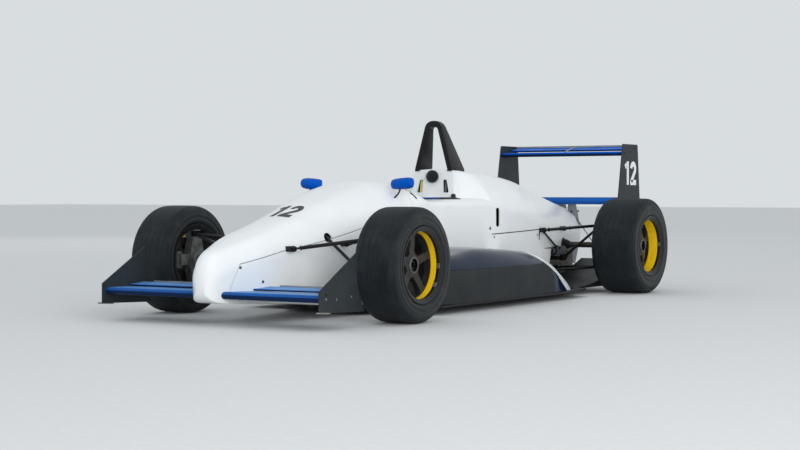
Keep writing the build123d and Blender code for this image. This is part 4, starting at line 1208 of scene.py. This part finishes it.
# Columns: name, four corners, direction it bulges, thickness, channels
SEAT_PADS = (
    ("seat_back_pad", ((-176, 1174, 134), (176, 1174, 134), (170, 1322, 489), (-170, 1322, 489)),
     (0, -0.922, 0.385), 22, 5),
    ("seat_base_pad", ((-176, 905, 78), (176, 905, 78), (176, 1092, 78), (-176, 1092, 78)),
     (0, 0, 1), 20, 5),
)
for name, corners, normal, depth, channels in SEAT_PADS:
    fit(cushion(name, corners, normal, depth, channels, seat_fabric))
print("belts and pads done")

# %% [markdown]
# ## Suspension arms
# Each arm is two tubes welded at a ball joint. At the body they end in rod ends: a threaded neck, a
# lock nut and an eye on a ball, held between the two plates of a bracket by a bolt. From close by,
# those joints are what tells a racing car from a toy, so the arms are made again with all of them.

# %% Arms with rod ends
# Columns: ball joint, then the two mounts, all x, station, z of the left side
FRONT_ARMS = (((585, 0, 403), (206, -238, 346), (262, 134, 362)),
              ((585, 0, 148), (192, -200, 118), (248, 160, 112)))
REAR_ARMS = (((530, 2700, 419), (300, 2204, 389), (222, 2640, 390)),
             ((530, 2700, 164), (124, 2380, 130), (112, 2760, 140)))
EYE = [(9, -6.5), (13.6, -6.5), (15.5, -4), (15.5, 4), (13.6, 6.5), (9, 6.5)]
BALL = [(5, -9), (6, -8), (9, -3), (9, 3), (6, 8), (5, 9)]


def rod_end(spot, axis):
    """Eye on a ball with its bolt and nut, about an axis through the spot."""
    axis = Vector(axis).normalized()
    made = [lathe("eye", EYE, spot, axis, black_steel_tube, 28, True),
            lathe("ball", BALL, spot, axis, zinc_steel, 20)]
    made += hex_bolt(spot + axis * 0.0135, axis, 13, dark_bolt)
    made += hex_bolt(spot - axis * 0.0135, -axis, 13, dark_bolt)
    return made


def bracket(mount, reach, thick=4.5):
    """Two plates with round ends that hold an eye off the body."""
    x, y, z = mount
    outline = rounded([(x - reach, z - 13), (x + 12.5, z - 13), (x + 12.5, z + 13),
                       (x - reach, z + 13)], [0, 12, 12, 0], 6)
    return [prism("cheek", outline, y + low, y + low + thick, "y", black_steel_tube)
            for low in (-9 - thick, 9)]


def arm_pieces(ball, mounts, reach):
    """Tubes, rod ends, brackets and ball joint of one left arm."""
    outer = at(*ball)
    axis = at(*mounts[1]) - at(*mounts[0])
    made = []
    for mount in mounts:
        spot = at(*mount)
        start = spot + (outer - spot).normalized() * 0.013
        made.append(tube(start, outer, 9, black_steel_tube, 20))
        made += rod_end(spot, axis) + bracket(mount, reach)
    made.append(lathe("ball_joint", [(10.5, -13.5), (12.5, -11), (12.5, 9), (9.5, 13)], outer,
                      (0, 0, 1), black_steel_tube, 28))
    return made


dark_bolt = worked("black_oxide_bolt_steel", "#1A1B1D", "#2A2A2B", 0.35, 0.6, 1.0, 0.01, 12)
left = [p for ball, *mounts in FRONT_ARMS for p in arm_pieces(ball, mounts, 34)]
gusset = rounded([(478, -18), (566, -30), (566, 30), (478, 18)], [6, 10, 10, 6], 5)
left.append(prism("gusset", gusset, 137, 144.5, "z", black_steel_tube))
fit(both_sides("front_arms", left), nodes=["front_wishbones"])
left = [p for ball, *mounts in REAR_ARMS for p in arm_pieces(ball, mounts, 40)]
fit(both_sides("rear_arms", left), nodes=["rear_wishbones"])

foot, top = at(522, 0, 160), at(196, 42, 402)
left = [tube(foot + (top - foot).normalized() * 0.012, top, 8, black_steel_tube, 16)]
left += rod_end(foot, (0, 1, 0))
ear = rounded([(506, 146.3), (538, 146.3), (536, 172), (508, 172)], [0, 0, 12, 12], 6)
left += [prism("ear", ear, low, low + 3.5, "y", black_steel_tube) for low in (-12.6, 9.1)]
fit(both_sides("pushrods", left), nodes=["front_pushrods"])
print("front and rear arms done")

# %% [markdown]
# ## Rear pull rods, rockers and dampers
# At the back a rod pulls on a rocker beside the gearbox, which presses a coil spring and damper
# that lies along the car. The spring is a real helix of 7 mm wire, because its turns show through
# the gap behind the sidepod. The drive shafts and their rubber boots turn with the rear wheels.

# %% Rockers, dampers and drive shafts
spring_paint = worked("blue_grey_spring_enamel", "#5A5F66", "#43464B", 0.35, 0.2, 3.0, 0.02, 30)
rocker_steel = worked("brown_bronze_rocker", "#3A312C", "#241F1D", 0.42, 0.5, 2.0, 0.05, 25)
foot, top = at(206, 2650, 204), at(450, 2684, 410)
left = [tube(foot, top, 8, black_steel_tube, 20)] + rod_end(foot, (0, 1, 0))
rocker = rounded([(188, 186), (222, 190), (246, 232), (226, 252), (196, 246)], [8] * 5, 5)
left += [prism("rocker_plate", rocker, low, low + 5, "y", rocker_steel) for low in (2637, 2658)]
foot_outline = rounded([(66, 190), (200, 194), (200, 214), (66, 222)], [3] * 4, 3)
left.append(prism("rocker_foot", foot_outline, 2640, 2660, "y", rocker_steel))
damper_axis = Vector((0, 1, 0))
start = at(230, 2448, 256)
DAMPER = [(6, -12), (6, 0), (19, 0), (20, 3), (20, 96), (17, 99), (17, 104), (6, 105),
          (6, 178), (16, 178), (16, 186), (5, 187), (5, 196)]
left.append(lathe("damper", DAMPER, start, damper_axis, cast_alloy, 28))
TURNS, TURN_STEPS, COIL_R, COIL_LENGTH = 7, 20, 24, 155
coil = []
for step in range(TURNS * TURN_STEPS + 1):
    angle = math.tau * step / TURN_STEPS
    coil.append(start + Vector((math.cos(angle) * COIL_R,
                                20 + COIL_LENGTH * step / (TURNS * TURN_STEPS),
                                math.sin(angle) * COIL_R)) / 1000)
left.append(bent_tube("spring", coil, 3.6, spring_paint, 8))
left.append(lathe("spring_seat", [(21, 14), (28, 14), (28, 19), (21, 19)], start, damper_axis,
                  dark_bolt, 32, True))
foot_outline = rounded([(64, 236), (242, 240), (242, 271), (64, 262)], [3] * 4, 3)
left.append(prism("damper_foot", foot_outline, 2436, 2450, "y", rocker_steel))
brace_front, brace_rear = at(300, 2191, 383), at(244, 2496, 274)
left += [tube(brace_front, brace_rear, 6.5, black_steel_tube, 18)] + rod_end(brace_rear, (1, 0, 0))
fit(both_sides("rear_rods", left), nodes=["rear_pullrods"])

BELLOWS = [(35, 0), (35.5, 8), (31, 12), (34, 17), (28.5, 22), (31, 27), (25, 32), (27, 37),
           (21, 43), (20, 52), (17.2, 53)]
for side, name in ((1, "left"), (-1, "right")):
    made = [lathe("boot", BELLOWS, at(side * x, WHEELBASE, REAR_AXLE_Z), (way, 0, 0),
                  soft_rubber, 36) for x, way in ((184, side), (444, -side))]
    made.append(lathe("shaft", [(17.4, 0), (17.4, 160)], at(side * 232, WHEELBASE, REAR_AXLE_Z),
                      (side, 0, 0), shaft_paint, 32))
    fit(merged(f"drive_shaft_{name}", made), f"wheel_rear_{name}")
print("rear rods done")

# %% [markdown]
# ## Mirrors
# Each mirror is a small blue moulding, rounder and lower towards its outer end, on a bent wire
# stalk. Eight D-shaped sections across the car are skinned, which gives the swelling front and
# flat back that a box with rounded edges can't.

# %% Mirror housings
# Columns: x from the middle, depth, half height
MIRROR_SECTIONS = ((-61, 30, 21), (-57, 38, 25), (-40, 46, 28), (-5, 52, 30), (30, 50, 30),
                   (50, 42, 26), (58, 32, 20), (61, 20, 12))
MIRROR_X, MIRROR_STATION, MIRROR_Z = 286, 604, 659
TILT = 0.06
rings = []
for offset, depth, half in MIRROR_SECTIONS:
    ring = [(MIRROR_STATION + 26, -0.86 * half), (MIRROR_STATION + 26, 0.86 * half)]
    for step in range(17):
        angle = math.pi * step / 16 - math.pi / 2
        y = MIRROR_STATION + 24 - (depth - 2) * math.cos(angle) ** 0.75
        ring.append((y, -half * math.sin(angle)))
    rings.append([at(MIRROR_X + offset, y, MIRROR_Z + dz + TILT * offset) for y, dz in ring])
shell = skin("shell", rings, mirror_blue)
stalk = bent_tube("stalk", curve_points(at(281, 600, 634), at(283, 594, 600), at(238, 562, 566)),
                  4.2, hoop_paint)
left = [shell, stalk]
left.append(lathe("stalk_foot", [(11, -4), (11, 1), (7, 4), (5, 6)], at(240, 563, 568),
                  (0.6, 0.1, 0.8), black_plastic, 24))
fit(both_sides("mirror_shells", left), nodes=["mirror_housings"])
mirror_silver = worked("silvered_mirror_glass", "#C9CFD4", "#BFC6CC", 0.06, 1.0, 30, 0.0, 80)


def glass_outline(grow):
    points = [(-54 - grow, -21 - grow), (54 + grow, -19 - grow), (54 + grow, 19 + grow),
              (-54 - grow, 21 + grow)]
    return rounded([(MIRROR_X + x, MIRROR_Z + z + TILT * x) for x, z in points],
                   [8, 14, 14, 8], 6)


frame_ring = prism("glass_rim", glass_outline(3), 629.2, 631.4, "y", black_plastic)
glass = prism("glass", glass_outline(0), 629.6, 631.9, "y", mirror_silver)
fit(both_sides("mirror_faces", [frame_ring, glass]), nodes=["mirror_glasses"])
print("mirrors done")

# %% [markdown]
# ## Small things on the skins
# Screws, trims and the race number sit on the finished skins. On the curved ones each is placed
# by a ray: it starts outside, looks along an axis and stops at the skin. The number is two digits,
# drawn as strokes of even width and laid under a millimetre proud of the surface, like vinyl film.

# %% Rays onto the skins
def tree_of(*objects):
    """Search tree over the faces of some pieces."""
    vertices, faces = [], []
    for obj in objects:
        start = len(vertices)
        vertices += [obj.matrix_world @ vertex.co for vertex in obj.data.vertices]
        faces += [[start + i for i in face.vertices] for face in obj.data.polygons]
    return BVHTree.FromPolygons(vertices, faces)


def on_skin(tree, start, direction):
    """First point a ray meets and the direction the skin faces there."""
    spot, normal, _, _ = tree.ray_cast(start, Vector(direction))
    return (spot, normal) if spot else (None, None)


nose_tree, rear_tree = tree_of(nose_skin, tub_skin), tree_of(engine_skin, panel_skin)
FASTENER = [(7.5, -1.5), (7.5, 0.6), (6, 1.0), (2.6, 1.0), (2.4, 0.2), (0.4, 0.2)]
# Columns: station and height of quarter-turn fasteners on the left flank
NOSE_SCREWS = ((-520, 267), (-388, 196), (640, 500))
REAR_SCREWS = ((1580, 362), (2160, 362), (2480, 296), (2760, 292))
fasteners = []
for tree, table in ((nose_tree, NOSE_SCREWS), (rear_tree, REAR_SCREWS)):
    for side in (1, -1):
        for station, height in table:
            spot, normal = on_skin(tree, at(side * 900, station, height), (-side, 0, 0))
            if spot:
                fasteners.append(lathe("fastener", FASTENER, spot, normal, zinc_steel, 16))
fit(merged("fasteners", fasteners))
print("fasteners on the skins:", len(fasteners))

# %% Race number
black_film = worked("black_vinyl_film", "#0B0C0E", "#121316", 0.4, 0.0, 3.0, 0.01, 60)
white_film = worked("white_vinyl_film", "#F1F3F4", "#E6E9EA", 0.4, 0.0, 3.0, 0.01, 60)
ARC = [(0.21 * math.cos(math.radians(a)), 0.69 + 0.21 * math.sin(math.radians(a)))
       for a in range(175, -41, -15)]
# Strokes of each digit in its own unit, and the place of each digit's middle
DIGITS = (([[(0.06, 0.0), (0.06, 1.0)], [(-0.22, 0.76), (-0.05, 0.86)]], -0.33),
          ([ARC + [(-0.2, 0.14)], [(-0.31, 0.1), (0.31, 0.1)]], 0.3))


def stroke(points, width, spot_of, material):
    """One stroke as a grid of small quads on a surface."""
    dense = []
    for a, b in zip(points, points[1:]):
        steps = max(1, round(math.hypot(b[0] - a[0], b[1] - a[1]) / 0.05))
        dense += [(a[0] + (b[0] - a[0]) * k / steps, a[1] + (b[1] - a[1]) * k / steps)
                  for k in range(steps)]
    dense.append(points[-1])
    across = 4
    vertices, faces = [], []
    for index, (u, v) in enumerate(dense):
        before, after = dense[max(index - 1, 0)], dense[min(index + 1, len(dense) - 1)]
        run = Vector((after[0] - before[0], after[1] - before[1])).normalized()
        for k in range(across + 1):
            t = width * (k / across - 0.5)
            vertices.append(spot_of(u - run.y * t, v + run.x * t))
    for row in range(len(dense) - 1):
        for k in range(across):
            i = row * (across + 1) + k
            faces.append([i, i + 1, i + across + 2, i + across + 1])
    return mesh_piece("stroke", vertices, faces, material)


def number(name, spot_of, material):
    """Both digits on a surface, which spot_of gives from the digits' own units."""
    pieces = []
    for strokes, middle in DIGITS:
        for points in strokes:
            pieces.append(stroke([(u + middle, v) for u, v in points], 0.22, spot_of, material))
    return fit(merged(name, pieces))


REAR_PLATE_X, FRONT_PLATE_X = 441.6, 632


def nose_spot(u, v):
    spot, normal = on_skin(nose_tree, at(u * 118, -88 + 158 * v, 900), (0, 0, -1))
    return spot + normal * 0.0006


number("nose_number", nose_spot, black_film)
for side, name in ((1, "left"), (-1, "right")):
    number(f"wing_number_{name}",
           lambda u, v: at(side * (REAR_PLATE_X + 0.7), 3157 + side * u * 150, 664 + 150 * v),
           white_film)
print("race number laid on")

# %% [markdown]
# ## Trims, wing hardware and the driver's controls
# The cockpit's sawn edge is dressed with a rubber section, the wings end in grey gurney strips, and
# screws hold the end plates. The steering wheel is a ring wrapped in suede on three flat steel
# spokes; it rides on the steering body, so it turns with the column.

# %% Trims
trim_path = []
for x, station in COCKPIT_OUTLINE:
    outward = Vector((x, station - 1020)).normalized() * 3
    spot, normal = on_skin(nose_tree, at(x + outward.x, station + outward.y, 900), (0, 0, -1))
    if spot:
        trim_path.append(spot)
trims = [bent_tube("rim_trim", trim_path + trim_path[:1], 4.5, soft_rubber, 8)]


blue_pad = knitted("blue_rim_padding", "#1D56B4", "#1A4C9E", 2.0)
for low, high, fabric in ((-100, 100, blue_pad), (103, 205, pad_fabric), (-205, -103, pad_fabric)):
    outline = rounded(oblong(low, high, 1300, 1330), [6] * 4, 4)
    trims.append(softened(prism("rim_pad", outline, 574, 586.5, "z", fabric), 5, 3, 50))
strip = [on_skin(nose_tree, at(x, 748 + 0.2 * (x - 250), 900), (0, 0, -1))[0]
         for x in (250, 262, 274, 286)]
trims.append(bent_tube("hood_strip", [p for p in strip if p], 4.5, soft_rubber, 8))
for outline in (oblong(1520, 1542, 408, 414), oblong(1528, 1533, 402, 424)):
    for side in (1, -1):
        trims.append(prism("latch", outline, *span(side, 296, 301.6), "x", black_plastic))
trims.append(lathe("belt_knob", [(5, -6), (5, 4), (13, 5), (14, 9), (14, 18), (11, 21), (1, 21.5)],
                   at(144, 1388, 584), (0.3, -0.6, 0.7), black_plastic, 24))
fit(merged("cockpit_trims", trims))

# %% Wing hardware
strip_grey = worked("anodised_strip_grey", "#8D949B", "#7A8087", 0.4, 0.3, 2.0, 0.02, 60)
hardware = []
# Columns: station and height of a strip's middle, and its ends across the car
for station, z, ends in ((-341.5, 172, span(1, 205, 560)), (-341.5, 172, span(-1, 205, 560)),
                         (3259.5, 916, (-436.4, 436.4))):
    strip = oblong(station - 1.9, station + 1.9, z - 7, z + 8.4)
    hardware.append(softened(prism("gurney", strip, *ends, "x", strip_grey), 0.5, 2))
hook = curve_points(at(12, 3052, 868), at(38, 3110, 906), at(40, 3204, 912))
hardware.append(bent_tube("wing_hook", hook, 4, zinc_steel, 10))
SMALL_SCREW = [(5.5, -1), (5.5, 1.2), (4.2, 1.9), (1.4, 1.9), (1.2, 1.0), (0.3, 1.0)]
# Columns: x, finish, then station and z of screws on the outer faces of both end plates
PLATE_SCREWS = ((FRONT_PLATE_X, zinc_steel, ((-584, 142), (-501, 137), (-382, 144))),
                (FRONT_PLATE_X, dark_bolt, ((-581, 161),)),
                (REAR_PLATE_X, dark_bolt, ((3066, 868), (3164, 874), (3226, 896), (2890, 510),
                                           (2960, 516))))
for x, material, spots in PLATE_SCREWS:
    hardware += [lathe("screw", SMALL_SCREW, at(side * x, station, z), (side, 0, 0), material, 16)
                 for station, z in spots for side in (1, -1)]
for side in (1, -1):
    hardware.append(prism("skid", [(-661, 82), (-553, 75), (-553, 81), (-661, 88)],
                          *span(side, 631.2, 633.4), "x", zinc_steel))
    for station, z in ((3121, 490), (3220, 492), (3144, 447), (3121, 560), (3220, 562)):
        hardware += hex_bolt(at(side * 40.2, station, z), (side, 0, 0), 10, dark_bolt)
fit(merged("wing_hardware", hardware))
print("trims and wing hardware done")

# %% Steering wheel
suede = knitted("black_suede_wrap", "#16171A", "#222327", 1.2)
dial_face = worked("black_dial_face", "#0C0D0F", "#101114", 0.3, 0.0, 3.0, 0.01)
needle_paint = worked("white_needle_paint", "#E8E6DE", "#D8D6CE", 0.5, 0.0, 3.0, 0.01)
WHEEL_TILT = math.radians(22)
GRIP_RADIUS, GRIP_THICKNESS = 119, 12.5
wheel_axis = Vector((0, math.cos(WHEEL_TILT), math.sin(WHEEL_TILT)))
wheel_up = Vector((0, -math.sin(WHEEL_TILT), math.cos(WHEEL_TILT)))
hub_spot = at(0, 835, 500)
ring = [(GRIP_RADIUS + GRIP_THICKNESS * math.cos(k * math.tau / 12) * (1 if k % 6 == 0 else 0.98),
         GRIP_THICKNESS * math.sin(k * math.tau / 12)) for k in range(12)]
made = [lathe("grip", ring, hub_spot, wheel_axis, suede, 64, True, 80)]
for angle in (90, 210, 330):
    out = Vector((math.cos(math.radians(angle)), 0, 0)) + wheel_up * math.sin(math.radians(angle))
    flat = out.cross(wheel_axis)
    outline = [hub_spot + (out * reach + flat * half) / 1000
               for reach, half in ((22, 17), (60, 12), (112, 15), (112, -15), (60, -12), (22, -17))]
    ends = [[p + wheel_axis * d / 1000 for p in outline] for d in (-2.2, 2.2)]
    made.append(softened(extruded("spoke", *ends, dark_bolt), 1.0, 2))
    made += hex_bolt(hub_spot + out * 0.03 + wheel_axis * 0.0022, wheel_axis, 8, zinc_steel)
made.append(lathe("boss", [(30, -14), (34, -10), (34, -3), (30, 3), (24, 8), (10, 10), (1, 10.5)],
                  hub_spot, wheel_axis, black_plastic, 40))
made.append(lathe("column", [(12, -252), (12, -30), (16, -28), (16, -14)], hub_spot, wheel_axis,
                  zinc_steel, 28))
fit(merged("driver_wheel", made), "steering", ["steering_wheel"])

# %% Gauges and switches
DASH_FACE = 652.4
panel_pieces = []
for x, z, r in ((-78, 590, 24), (0, 600, 40), (78, 590, 24)):
    spot = at(x, DASH_FACE, z)
    bezel = [(r, 0), (r + 3, 2), (r + 3, 7), (r, 9), (r - 1, 7), (r - 1, 0)]
    panel_pieces.append(lathe("bezel", bezel, spot, (0, 1, 0), zinc_steel, 40, True))
    panel_pieces.append(lathe("face", [(r - 0.5, 0), (r - 0.5, 4.5), (1, 4.6)], spot, (0, 1, 0),
                              dial_face, 32))
    tip = spot + Vector((0.55 * r, 5.2, 0.55 * r)) / 1000
    panel_pieces.append(tube(spot + Vector((0, 0.0052, 0)), tip, 1.0, needle_paint, sides=8))
for x in (-150, -124, 124, 150):
    panel_pieces.append(lathe("toggle", [(6, 0), (6, 3), (2.2, 4), (2.6, 16), (1, 18)],
                              at(x, DASH_FACE, 560), (0, 1, 0.25), zinc_steel, 14))
fit(merged("gauges", panel_pieces))
print("gauges and switches done")

# %% [markdown]
# ## Finishes on the CAD's own pieces
# Wings, castings and plates have the right shape already. They keep their meshes and get a finish
# through their material slots, and a small edge radius from a modifier where light should catch an
# edge.

# %% Dress the CAD nodes
FINISHES = {
    "front_wing": front_wing_paint, "front_flaps": front_wing_paint, "rear_wing": blue_wing_paint,
    "rear_beam_wing": blue_gelcoat,
    "front_endplates": sanded_composite, "rear_endplates": sanded_composite,
    "rear_wing_post": post_grey, "undertray": floor_composite, "diffuser": floor_composite,
    "track_rods": black_steel_tube, "wing_stays": zinc_steel, "steering_rack": cast_alloy,
    "dashboard": black_plastic, "seat": black_plastic, "radiators": cast_alloy,
    "engine_block": oiled_casting, "gearbox": oiled_casting,
}
for end in ("front", "rear"):
    for side in ("left", "right"):
        FINISHES[f"hub_{end}_{side}"] = brake_iron
        FINISHES[f"upright_{end}_{side}"] = cast_alloy
for name, finish in FINISHES.items():
    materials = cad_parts[name].data.materials
    materials.clear()
    materials.append(finish)
EDGED = ("front_endplates", "rear_endplates", "rear_wing_post", "diffuser", "dashboard", "seat",
         "gearbox", "engine_block", "upright_front_left", "upright_front_right",
         "upright_rear_left", "upright_rear_right", "steering_rack")
for name in EDGED:
    soften(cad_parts[name], 1.2, 2, 40).modifiers["edge radius"].harden_normals = True
print("nodes with a piece of their own:", sorted(set(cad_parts) - set(FINISHES)))

# %% [markdown]
# ## Floor, light and camera
# The car stands on a plain pale floor under an even pale sky, which gives most of the light, as
# on an overcast day. Large lamps in front add some direction. They stay out of reflections, so the
# gloss paint mirrors only the surroundings, with no hard patch. The camera and the reflections see
# the sky a trace brighter than it shines. The camera was solved from the photograph: it looks
# level, from 0.6 m above the ground, with the frame shifted down.

# %% Floor
floor_paint, floor_shader = finish_named("pale_floor_paint", "#DEDFE0", Roughness=0.85)
floor_noise = grain(floor_paint, place(floor_paint), 30, 4)
floor_tone = two_tone(floor_paint, floor_noise, "#DDDEDF", "#E1E2E2", 0.3, 0.7)
wire(floor_paint, floor_tone, floor_shader)
relief(floor_paint, floor_shader, floor_noise, 0.1, 0.2)
ground = mesh_piece("ground", [(-60, -60, 0), (60, -60, 0), (60, 60, 0), (-60, 60, 0)],
                    [[0, 1, 2, 3]], floor_paint)
ground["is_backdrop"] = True

# %% World and lamps
world = bpy.data.worlds.new("studio")
bpy.context.scene.world = world
world.use_nodes = True
background = world.node_tree.nodes["Background"]
paths = add(world, "ShaderNodeLightPath").outputs
seen = calc(world, "MAXIMUM", paths["Is Camera Ray"], paths["Is Glossy Ray"])
seen = calc(world, "MAXIMUM", seen, paths["Is Transmission Ray"])
wire(world, ranged(world, seen, 0.0, 1.0, 0.72, 0.74), background, "Strength")
background.inputs["Color"].default_value = (0.93, 0.975, 1.0, 1.0)


def lamp(name, spot, aim, size, power):
    """Round area lamp that reflections don't show."""
    light = bpy.data.lights.new(name, "AREA")
    light.shape, light.size, light.energy = "DISK", size, power
    obj = link(bpy.data.objects.new(name, light))
    obj.location = spot
    obj.rotation_euler = (Vector(aim) - Vector(spot)).to_track_quat("-Z", "Y").to_euler()
    obj.visible_glossy = False
    return obj


lamp("overhead", (1.0, -1.0, 6.5), (0, 0, 0.3), 5.0, 6)
lamp("front_left", (10.5, -8.0, 3.7), (0, 0, 0.4), 6.8, 600)
lamp("low_fill", (7.0, -9.5, 1.35), (0, 0, 0.3), 2.4, 150)
lamp("rear_right", (-10.0, 8.0, 6.0), (0, 0.5, 0.4), 7.0, 60)

# %% Camera
camera = bpy.data.cameras.new("camera")
camera.sensor_width, camera.lens = 36.0, 72.0
camera.shift_y = -0.0392
camera.clip_end = 200
view_point = link(bpy.data.objects.new("camera", camera))
view_point.location = (4.611, -7.709, 0.607)
view_point.rotation_euler = (math.radians(90), 0, math.atan2(0.5267, 0.8500))
bpy.context.scene.camera = view_point
bpy.context.scene.view_settings.view_transform = "Standard"

# %% Sizes
low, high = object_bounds()
